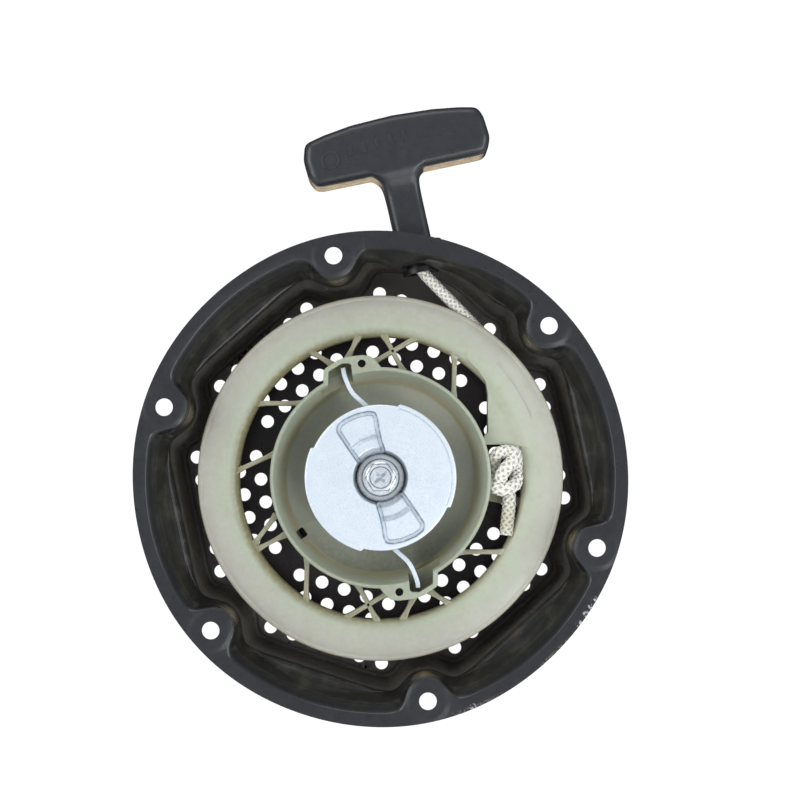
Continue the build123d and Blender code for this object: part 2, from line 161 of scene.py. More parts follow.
def boolean(obj, tools, operation, sharp=35.0):
    """Cut or join other objects into obj, and remove them."""
    for tool in tools:
        modifier = obj.modifiers.new("bool", "BOOLEAN")
        modifier.operation = operation
        modifier.solver = "EXACT"
        modifier.object = tool
        bpy.context.view_layer.update()
        bake(obj, sharp)
    for tool in tools:
        bpy.data.objects.remove(tool, do_unlink=True)
    return obj


def join(name, objects, sharp=35.0):
    """One object out of several, without cutting them."""
    vertices, faces = [], []
    for obj in objects:
        start = len(vertices)
        vertices += [tuple(c / MM for c in obj.matrix_world @ v.co) for v in obj.data.vertices]
        faces += [[start + i for i in p.vertices] for p in obj.data.polygons]
        bpy.data.objects.remove(obj, do_unlink=True)
    return new_object(name, vertices, faces, sharp)


def grid_faces(rows, count, wrap=False):
    """Quads between rings of points, the last ring joined to the first one where it wraps."""
    return [(i * count + j, i * count + (j + 1) % count,
             (i + 1) % rows * count + (j + 1) % count, (i + 1) % rows * count + j)
            for i in range(rows if wrap else rows - 1) for j in range(count)]


def lathe(name, profile, steps=180, sharp=35.0, frame_axes=None):
    """Turn a closed outline of (radius, depth) points about the starter's axis, or about another frame's."""
    vertices = []
    for i in range(steps):
        angle = 2 * math.pi * i / steps
        for radius, depth in profile:
            point = Vector((radius * math.cos(angle), depth, radius * math.sin(angle)))
            vertices.append(frame_axes @ point if frame_axes else point)
    return new_object(name, vertices, grid_faces(steps, len(profile), wrap=True), sharp)


def disc_cutter(radius, front, back):
    """A turned outline that fills everything inside a radius, between two depths."""
    return [(BORE_FLOOR, front), (radius, front), (radius, back), (BORE_FLOOR, back)]


def rounded(points, radius, steps=4):
    """A closed outline with each corner turned into an arc. A radius per corner can be given."""
    radii = radius if isinstance(radius, (list, tuple)) else [radius] * len(points)
    out = []
    for i, corner in enumerate(points):
        p, before, after = Vector(corner), Vector(points[i - 1]), Vector(points[(i + 1) % len(points)])
        u, v = (before - p).normalized(), (after - p).normalized()
        turn = math.pi - u.angle(v)
        if turn < 0.05 or radii[i] <= 0:
            out.append(tuple(p))
            continue
        cut = min(radii[i] * math.tan(turn / 2), 0.48 * (before - p).length, 0.48 * (after - p).length)
        arc = cut / math.tan(turn / 2)
        centre = p + (u + v).normalized() * (arc / math.cos(turn / 2))
        start, end = p + u * cut - centre, p + v * cut - centre
        sweep = start.angle_signed(end)
        for k in range(steps + 1):
            angle = -sweep * k / steps
            c, s = math.cos(angle), math.sin(angle)
            out.append((centre.x + start.x * c - start.y * s, centre.y + start.x * s + start.y * c))
    return out


def extruded(name, front, back, sharp=35.0):
    """A solid between two equal outlines."""
    count = len(front)
    caps = [list(range(count)), list(range(2 * count - 1, count - 1, -1))]
    return new_object(name, front + back, caps + grid_faces(2, count), sharp)


def bevelled(obj, width, segments, angle, sharp=35.0):
    modifier = obj.modifiers.new("bevel", "BEVEL")
    modifier.width = width * MM
    modifier.segments = segments
    modifier.limit_method = "ANGLE"
    modifier.angle_limit = math.radians(angle)
    return bake(obj, sharp)


def thickened(obj, thickness):
    """Give a surface that faces the engine a thickness towards its back."""
    solid = obj.modifiers.new("sheet", "SOLIDIFY")
    solid.thickness = thickness * MM
    solid.offset = -1
    return solid


def prism(name, outline, front, back, bevel=0.0, sharp=35.0):
    """An outline of (x, z) points filled from depth front to depth back, with bevelled edges."""
    obj = extruded(name, [(x, front, z) for x, z in outline], [(x, back, z) for x, z in outline], sharp)
    return bevelled(obj, bevel, 3, 40, sharp) if bevel else obj


def circle_points(x, z, radius, steps=32):
    """Points round a circle, in the plane across the starter's axis."""
    return [(x + radius * math.cos(2 * math.pi * k / steps), z + radius * math.sin(2 * math.pi * k / steps))
            for k in range(steps)]


def strip_points(start, end, width):
    """The four corners of a straight strip."""
    a, b = Vector(start), Vector(end)
    side = (b - a).normalized().orthogonal() * width / 2
    return [tuple(a + side), tuple(b + side), tuple(b - side), tuple(a - side)]


def half_turn(points):
    """The same points turned half a turn about the starter's axis."""
    return [(-x, -z) for x, z in points]


def polygon_inset(x, z, outline):
    """How far inside a closed outline each point is, negative outside."""
    nearest = np.full(x.shape, 1e9)
    inside = np.zeros(x.shape, bool)
    for (x0, z0), (x1, z1) in zip(outline, outline[1:] + outline[:1]):
        dx, dz = x1 - x0, z1 - z0
        t = np.clip(((x - x0) * dx + (z - z0) * dz) / (dx * dx + dz * dz), 0, 1)
        nearest = np.minimum(nearest, np.hypot(x - x0 - t * dx, z - z0 - t * dz))
        crosses = ((z0 > z) != (z1 > z)) & (x < dx * (z - z0) / (dz if dz else 1e-9) + x0)
        inside ^= crosses
    return np.where(inside, nearest, -nearest)


def flat_with_holes(loops):
    """Triangles that fill the first loop and leave the others open. Each loop is a list of (x, z) points."""
    points, edges = [], []
    for loop in loops:
        start = len(points)
        points += [Vector(p) for p in loop]
        edges += [(start + i, start + (i + 1) % len(loop)) for i in range(len(loop))]
    found, _, triangles, _, _, _ = geometry.delaunay_2d_cdt(points, edges, [], 0, 1e-7)
    middles = np.array([[sum(found[i][k] for i in t) / 3 for k in (0, 1)] for t in triangles])
    within = sum(polygon_inset(middles[:, 0], middles[:, 1], [tuple(p) for p in loop]) > 0 for loop in loops)
    return [tuple(p) for p in found], [tuple(t) for t, times in zip(triangles, within) if times == 1]


def pull_matrix():
    """A frame whose Y runs along the pull line from its foot, with X to the right and Z towards the engine."""
    y = PULL
    z = Vector((0, -1, 0))
    x = y.cross(z)
    rotation = Matrix((x, y, z)).transposed().to_4x4()
    return Matrix.Translation(PULL_FOOT) @ rotation


# ================================================================ materials

class Look:
    """One procedural material, and short ways to add nodes to it."""

    def __init__(self, name, roughness=0.5, metallic=0.0, coat=0.0, coat_roughness=0.1, sheen=0.0,
                 subsurface=0.0, subsurface_radius=(1.0, 0.8, 0.5), subsurface_scale=0.002, ior=1.5):
        self.material = bpy.data.materials.new(name)
        self.material.use_nodes = True
        self.nodes = self.material.node_tree.nodes
        self.links = self.material.node_tree.links
        self.shader = self.nodes["Principled BSDF"]
        for socket, value in (("Roughness", roughness), ("Metallic", metallic), ("Coat Weight", coat),
                              ("Coat Roughness", coat_roughness), ("Sheen Weight", sheen), ("IOR", ior),
                              ("Subsurface Weight", subsurface), ("Subsurface Radius", subsurface_radius),
                              ("Subsurface Scale", subsurface_scale)):
            self.shader.inputs[socket].default_value = value
        self.coordinates = self.nodes.new("ShaderNodeTexCoord")
        self.place = self.coordinates.outputs["Object"]

    def feed(self, source, socket):
        """Link a socket to another one, or set it to a value."""
        if isinstance(source, bpy.types.NodeSocket):
            self.links.new(source, socket)
        else:
            socket.default_value = source

    def noise(self, size, detail=4.0, roughness=0.55, stretch=(1, 1, 1)):
        """Noise whose spots are about that many millimetres across."""
        mapping = self.nodes.new("ShaderNodeMapping")
        mapping.inputs["Scale"].default_value = stretch
        self.links.new(self.place, mapping.inputs["Vector"])
        noise = self.nodes.new("ShaderNodeTexNoise")
        noise.inputs["Scale"].default_value = 1 / (size * MM)
        noise.inputs["Detail"].default_value = detail
        noise.inputs["Roughness"].default_value = roughness
        self.links.new(mapping.outputs["Vector"], noise.inputs["Vector"])
        return noise.outputs["Fac"]

    def maths(self, operation, a, b=0.0):
        node = self.nodes.new("ShaderNodeMath")
        node.operation = operation
        for value, socket in zip((a, b), node.inputs):
            self.feed(value, socket)
        return node.outputs[0]

    def both(self, *sources):
        """The product of several values."""
        product = sources[0]
        for source in sources[1:]:
            product = self.maths("MULTIPLY", product, source)
        return product

    def vector_maths(self, operation, vector=None, output="Value"):
        """A vector operation on the place in the piece and, where it takes two, on a fixed vector."""
        node = self.nodes.new("ShaderNodeVectorMath")
        node.operation = operation
        self.links.new(self.place, node.inputs[0])
        if vector is not None:
            node.inputs[1].default_value = vector
        return node.outputs[output]

    def spread(self, source, low, high, to_low=0.0, to_high=1.0):
        """A value carried smoothly from one range to another, and held at its ends."""
        node = self.nodes.new("ShaderNodeMapRange")
        node.interpolation_type = "SMOOTHSTEP"
        for value, socket in zip((source, low, high, to_low, to_high), node.inputs):
            self.feed(value, socket)
        return node.outputs["Result"]

    def mix(self, factor, a, b):
        node = self.nodes.new("ShaderNodeMix")
        node.data_type = "RGBA"
        self.feed(factor, node.inputs["Factor"])
        self.feed(a, node.inputs["A"])
        self.feed(b, node.inputs["B"])
        return node.outputs["Result"]

    def ramp(self, source, stops):
        node = self.nodes.new("ShaderNodeValToRGB")
        node.color_ramp.interpolation = "EASE"
        while len(node.color_ramp.elements) < len(stops):
            node.color_ramp.elements.new(0.5)
        for element, (position, colour) in zip(node.color_ramp.elements, stops):
            element.position = position
            element.color = colour
        self.links.new(source, node.inputs["Fac"])
        return node.outputs["Color"]

    def line(self, value, at, width):
        """1 where a value is at a place, falling to 0 at that width to both sides."""
        return self.spread(self.maths("ABSOLUTE", self.maths("SUBTRACT", value, at)), 0.0, width, 1.0, 0.0)

    def painted_shade(self):
        """The painted shade that a piece's vertices carry, 0 where it has none."""
        node = self.nodes.new("ShaderNodeAttribute")
        node.attribute_name = "painted_shade"
        return node.outputs["Fac"]

    def towards(self, degrees):
        """How far out a point lies in the furthest of these directions round the starter's axis, in millimetres."""
        furthest = -1000.0
        for angle in degrees:
            x, z = polar(1 / MM, angle)
            furthest = self.maths("MAXIMUM", furthest, self.vector_maths("DOT_PRODUCT", (x, 0, z)))
        return furthest

    def axis(self, name):
        """One coordinate, in millimetres."""
        node = self.nodes.new("ShaderNodeSeparateXYZ")
        self.links.new(self.place, node.inputs[0])
        return self.maths("DIVIDE", node.outputs[name], MM)

    def radius(self):
        """Distance from the starter's axis, in millimetres."""
        length = self.nodes.new("ShaderNodeVectorMath")
        length.operation = "LENGTH"
        self.links.new(self.vector_maths("MULTIPLY", (1 / MM, 0, 1 / MM), "Vector"), length.inputs[0])
        return length.outputs["Value"]

    def near(self, points, reach):
        """1 close to any of these points, falling to 0 at that distance, in millimetres."""
        total = 0.0
        for point in points:
            away = self.vector_maths("DISTANCE", [c * MM for c in point])
            total = self.maths("MAXIMUM", total, self.spread(away, 0.0, reach * MM, 1.0, 0.0))
        return total

    def bump(self, height, strength, distance):
        """Add relief of that many millimetres on top of what the piece already has."""
        node = self.nodes.new("ShaderNodeBump")
        node.inputs["Strength"].default_value = strength
        node.inputs["Distance"].default_value = distance * MM
        self.links.new(height, node.inputs["Height"])
        before = self.shader.inputs["Normal"].links
        if before:
            self.links.new(before[0].from_socket, node.inputs["Normal"])
        self.links.new(node.outputs["Normal"], self.shader.inputs["Normal"])

    def set(self, socket, source):
        self.feed(source, self.shader.inputs[socket])
        return self


def dress(obj, look):
    """Give a piece that material alone."""
    obj.data.materials.clear()
    obj.data.materials.append(look.material)
    return obj


def black_paint():
    """Black enamel: painted shade makes it darkest in the hollow behind the flange, painted light makes the walls
    lighter deeper down and the floor lighter at its outer edge; it is dusty on the walls and a little brown on the
    floor.

    The rim is chipped and scuffed at the lower right, and the press has left fine lines along the flats."""
    look = Look("black_paint", roughness=0.3, coat=0.3, coat_roughness=0.12)
    look.shader.inputs["Specular IOR Level"].default_value = 0.28
    depth, radius = look.axis("Y"), look.radius()
    # painted light: the floor is made lighter from radius 79 to 87, beneath the reel's edge where it lies in shade
    floor = look.mix(look.spread(radius, 79.0, 87.0), srgb(57, 50, 54), srgb(108, 103, 101))
    colour = look.mix(look.noise(14, 5), srgb(39, 40, 43), srgb(49, 50, 54))
    # painted shade: the paint is made nearly black in the hollow behind the flange's bend
    colour = look.mix(look.spread(depth, 0.1, 2.2, 0.0, 0.95), colour, srgb(19, 19, 17))
    # painted light: the steep wall is made lighter the deeper it goes
    colour = look.mix(look.spread(depth, 16.4, 20.0), colour, srgb(78, 76, 70))
    colour = look.mix(look.spread(depth, 22.0, 44.0), colour, srgb(116, 112, 104))
    colour = look.mix(look.spread(depth, 44.0, 49.5), colour, floor)
    centres = [polar(BOLT_CIRCLE, FIRST_BOLT + SECTOR * k) for k in range(6)]
    pads = look.near([(x, 0, z) for x, z in centres], 20.0)
    # painted highlight: a warm crescent where the lobes round the bolts flare out
    flare_highlights = look.both(look.near([(x * 0.87, 8.5, z * 0.87) for x, z in centres], 8.0),
                       look.spread(look.noise(4, 4), 0.3, 0.6, 0.3, 1.0))
    colour = look.mix(look.both(flare_highlights, look.spread(depth, 1.5, 4.0)), colour, srgb(118, 108, 84))
    dust = look.both(look.spread(look.noise(7, 6, 0.6, (1, 0.35, 1)), 0.45, 0.75, 0.0, 0.30),
                     look.spread(depth, 0.5, 6.0, 0.12, 1.0))
    colour = look.mix(dust, colour, srgb(84, 80, 70))
    speck = look.spread(look.noise(0.45, 2, 0.7), 0.68, 0.78, 0.0, 0.25)
    colour = look.mix(speck, colour, srgb(96, 96, 100))
    chips, scuffs = ([(x, 0.5, z) for x, z in (polar(radius_mm, angle) for angle in angles)]
                     for radius_mm, angles in ((FLANGE - 1.2, CHIPS), (FLANGE, SCUFFS)))
    chipped = look.both(look.spread(look.near(chips, 2.4), 0.1, 0.6),
                        look.spread(look.noise(1.4, 3, 0.5), 0.50, 0.54))
    scuffed = look.both(look.near(scuffs, 9.0), look.spread(radius, FLANGE - 2.3, FLANGE - 1.0),
                        look.spread(look.noise(1.3, 3, 0.6), 0.46, 0.60))
    colour = look.mix(look.both(scuffed, 0.8), colour, srgb(132, 126, 112))
    look.set("Base Color", look.mix(chipped, colour, srgb(196, 199, 204)))
    look.set("Metallic", look.both(chipped, 0.6))
    gloss = look.spread(look.noise(3.5, 5, 0.7), 0.3, 0.75, 0.26, 0.42)
    hollow = look.both(look.spread(depth, 1.0, 5.0), look.spread(depth, 18.0, 15.5))
    look.set("Roughness", look.maths("ADD", gloss, look.both(hollow, 0.16)))
    # lines that the press has drawn along the inner edge of each flat
    flats = look.towards([TOP_SECTOR + SECTOR * k for k in range(1, 6)])
    lines = look.maths("SINE", look.both(flats, 2 * math.pi / PRESS_LINES))
    band = look.both(look.spread(flats, 93.0, 93.6), look.spread(flats, 96.4, 95.2),
                     look.spread(look.noise(9, 3), 0.42, 0.6),
                     look.spread(depth, 17.2, 16.2), look.spread(depth, 11.5, 13.5))
    look.bump(look.both(lines, band), 0.6, 0.34)
    look.bump(look.both(look.spread(pads, 0.42, 0.68), look.spread(depth, 1.5, 0.2)), 0.7, 0.55)
    look.bump(look.noise(2.4, 3), 0.10, 0.25)
    look.bump(look.noise(22, 2), 0.25, 1.2)
    return look


def natural_nylon():
    """Natural nylon, translucent and slightly green, warmer at thin edges, pinkish towards the reel's edge, with
    painted shade on the ring's inner slope, behind the ring, in the cup and lower on the cup's floor, and painted
    light towards the right.
    """
    look = Look("natural_nylon", roughness=0.38, subsurface=0.35, subsurface_radius=(1.0, 0.9, 0.6),
                subsurface_scale=0.003)
    across, depth, height, radius = look.axis("X"), look.axis("Y"), look.axis("Z"), look.radius()
    band = look.maths("ADD", radius, look.spread(look.noise(30, 3), 0.3, 0.7, -2.0, 2.0))
    colour = look.ramp(look.maths("DIVIDE", band, 100.0),
                       [(0.0, srgb(150, 154, 140)), (0.49, srgb(152, 160, 143)), (0.64, srgb(160, 168, 148)),
                        (0.70, srgb(168, 175, 158)), (0.77, srgb(172, 173, 162)), (0.86, srgb(166, 164, 156))])
    edge = look.maths("MAXIMUM", look.spread(radius, 83.3, 84.1, 0.0, 0.7),
                      look.both(look.spread(depth, 19.3, 21.5), look.spread(radius, 65.0, 66.0)))
    colour = look.mix(look.both(edge, 0.8), colour, srgb(158, 146, 112))
    # painted shade on the ring's rounded inner slope, deepest on the left
    slope = look.both(look.spread(radius, 70.5, 66.5), look.spread(radius, 62.0, 65.0),
                      look.spread(across, 40.0, -60.0, 0.2, 1.0))
    colour = look.mix(slope, colour, srgb(124, 121, 90))
    # painted light: the nylon is made lighter towards the right
    colour = look.mix(look.spread(across, 10.0, 80.0, 0.0, 0.22), colour, srgb(226, 230, 214))
    # painted shade in the recess between the cup and the ring, where the ribs stand
    ribs = look.both(look.spread(radius, 51.2, 52.0), look.spread(radius, 65.6, 64.8),
                     look.spread(depth, 20.3, 20.6))
    colour = look.mix(look.both(ribs, 0.7), colour, srgb(142, 136, 112))
    inside_cup = look.spread(radius, 50.2, 49.0)
    shade_in_cup = look.both(look.spread(depth, 14.0, 34.0), inside_cup, 0.85)
    colour = look.mix(shade_in_cup, colour, srgb(176, 168, 136))
    # painted shade: the cup's floor is made darker towards the bottom
    cup_floor_shade = look.mix(look.spread(height, -12.0, -42.0, 0.0, 0.75), srgb(170, 172, 158), srgb(116, 120, 106))
    colour = look.mix(look.both(look.spread(depth, 32.6, 33.4), inside_cup), colour, cup_floor_shade)
    stain = look.spread(look.noise(6, 6, 0.65), 0.45, 0.75, 0.0, 0.25)
    colour = look.mix(stain, colour, srgb(160, 148, 112))
    cloud = look.spread(look.noise(2.2, 5, 0.6), 0.4, 0.7, 0.0, 0.16)
    look.set("Base Color", look.mix(cloud, colour, srgb(196, 200, 188)))
    look.set("Roughness", look.spread(look.noise(5, 4), 0.3, 0.7, 0.30, 0.46))
    look.bump(look.noise(1.2, 3), 0.06, 0.2)
    look.bump(look.noise(16, 2), 0.12, 0.8)
    return look


def plated(name, light, dark, roughness, metallic, speckle, crease_shade_colour=srgb(52, 68, 96), spot=0.5,
           rings=(), hexagon=()):
    """Zinc plate: bright metal with a fine crystal speckle and faint cloudy patches, with painted shade in its
    creases.

    The painted shade comes from what a piece's vertices carry, from rings about the starter's axis, and from a
    hexagon's outline, each (size, width)."""
    look = Look(name, metallic=metallic)
    clouds = look.noise(7, 4)
    colour = look.mix(clouds, light, dark)
    crystals = look.spread(look.noise(spot, 2, 0.8), 0.50, 0.64, 0.0, speckle)
    colour = look.mix(crystals, colour, [c * 0.62 for c in dark[:3]] + [1.0])
    # painted shade along the creases, the rings and the hexagon's outline
    crease_shade = look.painted_shade()
    for size, width in rings:
        crease_shade = look.maths("MAXIMUM", crease_shade, look.line(look.radius(), size, width))
    for size, width in hexagon:
        crease_shade = look.maths("MAXIMUM", crease_shade, look.line(look.towards(range(32, 392, 60)), size, width))
    crease_shade = look.both(crease_shade, look.spread(look.noise(2, 3), 0.3, 0.6, 0.65, 1.0))
    look.set("Base Color", look.mix(crease_shade, colour, crease_shade_colour))
    look.set("Roughness", look.spread(look.noise(0.8, 3, 0.7), 0.3, 0.7, *roughness))
    look.bump(look.noise(0.5, 2, 0.6), 0.12, 0.06)
    look.bump(look.noise(9, 2), 0.2, 0.3)
    return look


def rope_fibre():
    """White nylon fibre: soft sheen, fine filaments, dirt, and painted yellowish shade between the strands and on
    the knot's left lobe.
    """
    look = Look("rope", roughness=0.5, sheen=0.25, subsurface=0.08, subsurface_scale=0.0008)
    dirt = look.spread(look.noise(5, 5, 0.6), 0.45, 0.75, 0.0, 0.45)
    colour = look.mix(dirt, srgb(250, 249, 244), srgb(228, 224, 208))
    # dirtier at the knot's tail, where it is handled most, and painted shade on the knot's left lobe
    tail_dirt_and_lobe_shade = look.maths("MAXIMUM", look.near([(58.2, 20.6, -20.0)], 15.0),
                      look.both(look.near([(51.5, 21.0, 6.0)], 5.5), 0.7))
    colour = look.mix(look.both(tail_dirt_and_lobe_shade, 0.8), colour, srgb(194, 190, 166))
    filament = look.noise(0.22, 2, 0.7)
    colour = look.mix(look.spread(filament, 0.4, 0.7, 0.0, 0.2), colour, srgb(184, 180, 164))
    # painted shade between the strands, as the rope's vertices carry it
    look.set("Base Color", look.mix(look.painted_shade(), colour, srgb(136, 127, 98)))
    look.bump(filament, 0.3, 0.1)
    return look


def moulded(name, light, dark, roughness=(0.38, 0.55), grain=0.5):
    """Moulded plastic with a fine spark texture and slightly uneven gloss."""
    look = Look(name, roughness=roughness[0], ior=1.48)
    colour = look.mix(look.noise(11, 4), light, dark)
    dust = look.spread(look.noise(0.7, 2, 0.8), 0.64, 0.76, 0.0, 0.25)
    look.set("Base Color", look.mix(dust, colour, srgb(118, 120, 126)))
    look.set("Roughness", look.spread(look.noise(4, 4), 0.3, 0.7, *roughness))
    look.bump(look.noise(grain, 2, 0.6), 0.18, 0.12)
    look.bump(look.noise(18, 2), 0.2, 0.8)
    return look


PAINT = black_paint()
NYLON = natural_nylon()
ZINC = plated("zinc_plate", srgb(234, 243, 250), srgb(216, 229, 242), (0.32, 0.48), 0.4, 0.42)
# painted shade: dark lines at the dish's edge, the flange's edge and the hexagon's outline
SCREW = plated("screw_zinc", srgb(238, 244, 249), srgb(214, 222, 232), (0.16, 0.3), 0.45, 0.2, spot=0.25,
               crease_shade_colour=srgb(52, 58, 72), rings=((4.85, 0.42), (8.35, 0.42)), hexagon=((6.0, 0.36),))
STEEL = plated("zinc_steel", srgb(206, 212, 218), srgb(178, 186, 194), (0.2, 0.34), 0.6, 0.25)
# painted shade: dark rings at the plate's well edge and round the screw's flange
WASHER = plated("washer_steel", srgb(196, 204, 210), srgb(168, 176, 182), (0.25, 0.4), 0.4, 0.2, spot=0.3,
                crease_shade_colour=srgb(70, 76, 78), rings=((10.9, 1.3), (8.5, 0.45)))
SPRING = plated("spring_steel", srgb(92, 94, 104), srgb(66, 66, 74), (0.25, 0.4), 0.95, 0.3)
BRONZE = plated("bronze", srgb(196, 160, 104), srgb(150, 116, 72), (0.35, 0.55), 0.9, 0.5)
ROPE_LOOK = rope_fibre()
GRIP = moulded("grip_plastic", srgb(50, 52, 56), srgb(43, 45, 49), (0.27, 0.38), 0.8)
GUIDE = moulded("black_nylon", srgb(30, 30, 32), srgb(22, 22, 24), (0.3, 0.45))


# ================================================================ pressed dome

def smooth_max(a, b, width):
    """The greater of two values, blended over a width where they are close."""
    overlap = np.maximum(width - np.abs(a - b), 0) / width
    return np.maximum(a, b) + overlap * overlap * width / 4


def smooth_step(value, low, high):
    t = np.clip((value - low) / (high - low), 0, 1)
    return t * t * (3 - 2 * t)


ANGLES = np.radians(np.arange(0, 360, 0.5))
WALL_TOP = 102.2              # inside radius of the wall under the flange's bend
LOBE = 10.9                   # radius of the lobe round each bolt there
BEND_DEPTH, SHELF_DEPTH = 4.6, 16.0
# the hump that the handle's seat makes in the wall: across the starter, and how far it stands in there
SEAT_HUMP = ((-18, -14, -10, -7, -2.3, 1.8, 5.9, 9, 13, 20.8, 23.3, 27),
             (0, 0.12, 0.48, 0.62, 0.62, 0.76, 0.96, 0.93, 0.78, 0.56, 0.32, 0))
# depth, and how far the hump stands in at its highest
SEAT_DEPTHS = ((1.7, 0), (3, 1.6), (5, 3.6), (7, 5.3), (9, 6.6), (11, 7.3), (12.5, 7.4), (14, 6.6), (16, 4.5),
               (18, 1.6), (19.5, 0))


def dome_outline(circle, half, lobe, blend, hump):
    """Inside radius of the dome at one depth for each of ANGLES.

    It is a circle, cut by the flats at that half width and by a round lobe at each bolt."""
    r = np.arange(60, FLANGE, 0.1)[None, :]
    degrees = np.degrees(ANGLES)[:, None]
    from_middle = (degrees - TOP_SECTOR + SECTOR / 2) % SECTOR - SECTOR / 2
    from_bolt = (degrees - FIRST_BOLT + SECTOR / 2) % SECTOR - SECTOR / 2
    in_top = np.abs(degrees - TOP_SECTOR) < SECTOR / 2
    # the flat of the top sector fades out towards the rope's guide, and the wall stands further out there
    faded = np.where(in_top, smooth_step(degrees, 55, 72), 0.0)
    wider = np.where(in_top, smooth_step(degrees, 58, 72) * (WALL_TOP + 0.2 - circle) * 0.55, 0.0)
    field = smooth_max(r - circle - wider, r * np.cos(np.radians(from_middle)) - half - 14 * faded, 1.6)
    away = r * r + BOLT_CIRCLE ** 2 - 2 * r * BOLT_CIRCLE * np.cos(np.radians(from_bolt))
    away = np.sqrt(np.maximum(away, 0))
    field = smooth_max(field, lobe - away, blend)
    x, z = r * np.cos(ANGLES)[:, None], r * np.sin(ANGLES)[:, None]
    bulge = np.interp(x, SEAT_HUMP[0], SEAT_HUMP[1])
    if hump > 0:
        field = np.where(z > 0, smooth_max(field, z - (103.4 - hump * bulge), 1.5), field)
    outside = field > 0
    first = np.argmax(outside, axis=1)
    rows = np.arange(len(ANGLES))
    before, after = field[rows, first - 1], field[rows, first]
    return r[0, first - 1] + 0.1 * before / (before - after)


def dome_levels():
    """(depth, circle, flat, lobe, blend, hump) from the flange's bend down to the raised panel of the floor."""
    levels = []
    # the bend from the flange into the wall, tighter round the lobes
    for y, rise, lobe_rise in ((0.0, 4.3, 1.3), (0.2, 3.95, 0.8), (0.8, 3.4, 0.4), (1.9, 2.5, 0.1), (3.2, 1.3, 0.0),
                               (BEND_DEPTH, 0.0, 0.0)):
        levels.append((y, WALL_TOP + rise, FLANGE - 0.5, LOBE - lobe_rise, 8.0))
    # the shelves, which slope in to the flats
    drop = SHELF_DEPTH - BEND_DEPTH
    for step in range(1, 17):
        u = step / 16
        down = 1 - (1 - u) ** 1.7
        y = BEND_DEPTH + drop * down
        levels.append((y, WALL_TOP - 4.0 * down, 102.6 - 9.1 * u, LOBE + 0.11 * y, 8.0 - 0.15 * y))
    # the wall down to the floor, with a little draft
    levels.append((16.5, 98.0, 93.2, 12.8, 5.6))
    for y in np.linspace(18, 48.6, 14):
        t = (y - SHELF_DEPTH) / 34
        levels.append((float(y), 98.0 - 2.6 * t, 93.0 - 2.0 * t, 12.7 + 3.4 * t, 5.6 - 1.6 * t))
    # the gutter round the floor's raised panel
    _, circle, flat, lobe, _ = levels[-1]
    for y, inset in ((49.6, 0.1), (50.6, 0.35), (51.3, 0.75), (51.6, 1.25), (51.5, 1.75), (51.0, 2.15), (50.6, 2.5),
                     (FLOOR_Y, 3.0)):
        levels.append((y, circle - inset, flat - inset, lobe + inset, 4.0))
    depths, heights = zip(*SEAT_DEPTHS)
    return [(*level, float(np.interp(level[0], depths, heights, 0, 0))) for level in levels]


def vent_centres():
    """Rows of holes square to the middle of each sector, every other row shifted by half a step."""
    centres = []
    for k in range(6):
        middle = math.radians(TOP_SECTOR + SECTOR * k)
        for row in range(VENT["rows"]):
            u = VENT["first"] + VENT["row"] * row
            shift = VENT["step"] / 2 if row % 2 else 0.0
            for i in range(-6, 6):
                v = i * VENT["step"] + shift
                if abs(math.degrees(math.atan2(v, u))) < VENT["half_angle"] and math.hypot(u, v) < VENT["reach"]:
                    centres.append((u * math.cos(middle) - v * math.sin(middle),
                                    u * math.sin(middle) + v * math.cos(middle)))
    return centres


def dome_surface():
    """The side of the sheet that faces the engine: vertices, faces and the rings between flange and floor."""
    rings = []
    for y, *shape in dome_levels():
        radii = dome_outline(*shape)
        rings.append([(float(r * math.cos(a)), y, float(r * math.sin(a))) for r, a in zip(radii, ANGLES)])
    vertices = [v for ring in rings for v in ring]
    faces = grid_faces(len(rings), len(ANGLES))
    # the flange's rim is trimmed after pressing, so it isn't quite round
    edge = []
    for a in ANGLES:
        wobble = 0.25 * math.cos(6 * (a - math.radians(FIRST_BOLT))) + 0.12 * math.sin(3 * a + 1)
        edge.append(((FLANGE - 0.35 + wobble) * math.cos(a), (FLANGE - 0.35 + wobble) * math.sin(a)))
    bolts = [circle_points(*polar(BOLT_CIRCLE, FIRST_BOLT + SECTOR * k), BOLT_HOLE, 40) for k in range(6)]
    flange = flat_with_holes([edge, [(v[0], v[2]) for v in rings[0]]] + bolts)
    vents = [circle_points(x, z, VENT["radius"], 24) for x, z in vent_centres()]
    floor = flat_with_holes([[(v[0], v[2]) for v in rings[-1]], circle_points(0, 0, 7.4, 48)] + vents)
    for (points, triangles), depth in ((flange, 0.0), (floor, FLOOR_Y)):
        start = len(vertices)
        vertices += [(x, depth, z) for x, z in points]
        faces += [tuple(start + i for i in t) for t in triangles]
    return vertices, faces, rings


def make_housing():
    """The pressed dome, and the seat for the handle's foot in its wall, trimmed where the two meet."""
    vertices, faces, rings = dome_surface()
    shell = new_object("dome", vertices, faces, 30)
    flange_face = min(shell.data.polygons, key=lambda p: p.center.y - p.area)
    if flange_face.normal.y > 0:
        shell.data.flip_normals()
    thickened(shell, SHEET).use_even_offset = False
    bake(shell, 32)
    count, rows = len(ANGLES), len(rings) + 1
    body = [(x, -2.0, z) for x, _, z in rings[0]] + [v for ring in rings for v in ring]
    ends = [tuple(range(count)), tuple(range((rows - 1) * count, rows * count))]
    inside = new_object("dome_inside", body, grid_faces(rows, count) + ends)
    axes = pull_matrix()
    seat = lathe("seat", [(13.1, -30), (13.1, -6.6), (12.7, -6), (11.9, -6), (11.5, -6.6), (11.5, -15.2),
                          (10.6, -16), (5.5, -16), (5.5, -17.6), (9, -17.6), (9, -30)], 72, 35, axes)
    boolean(seat, [inside], "DIFFERENCE")
    bore = lathe("bore", disc_cutter(12.3, -30, 20), 72, 35, axes)
    boolean(shell, [bore], "DIFFERENCE", 32)
    return join("housing", [shell, seat], 32)


# ================================================================ handle

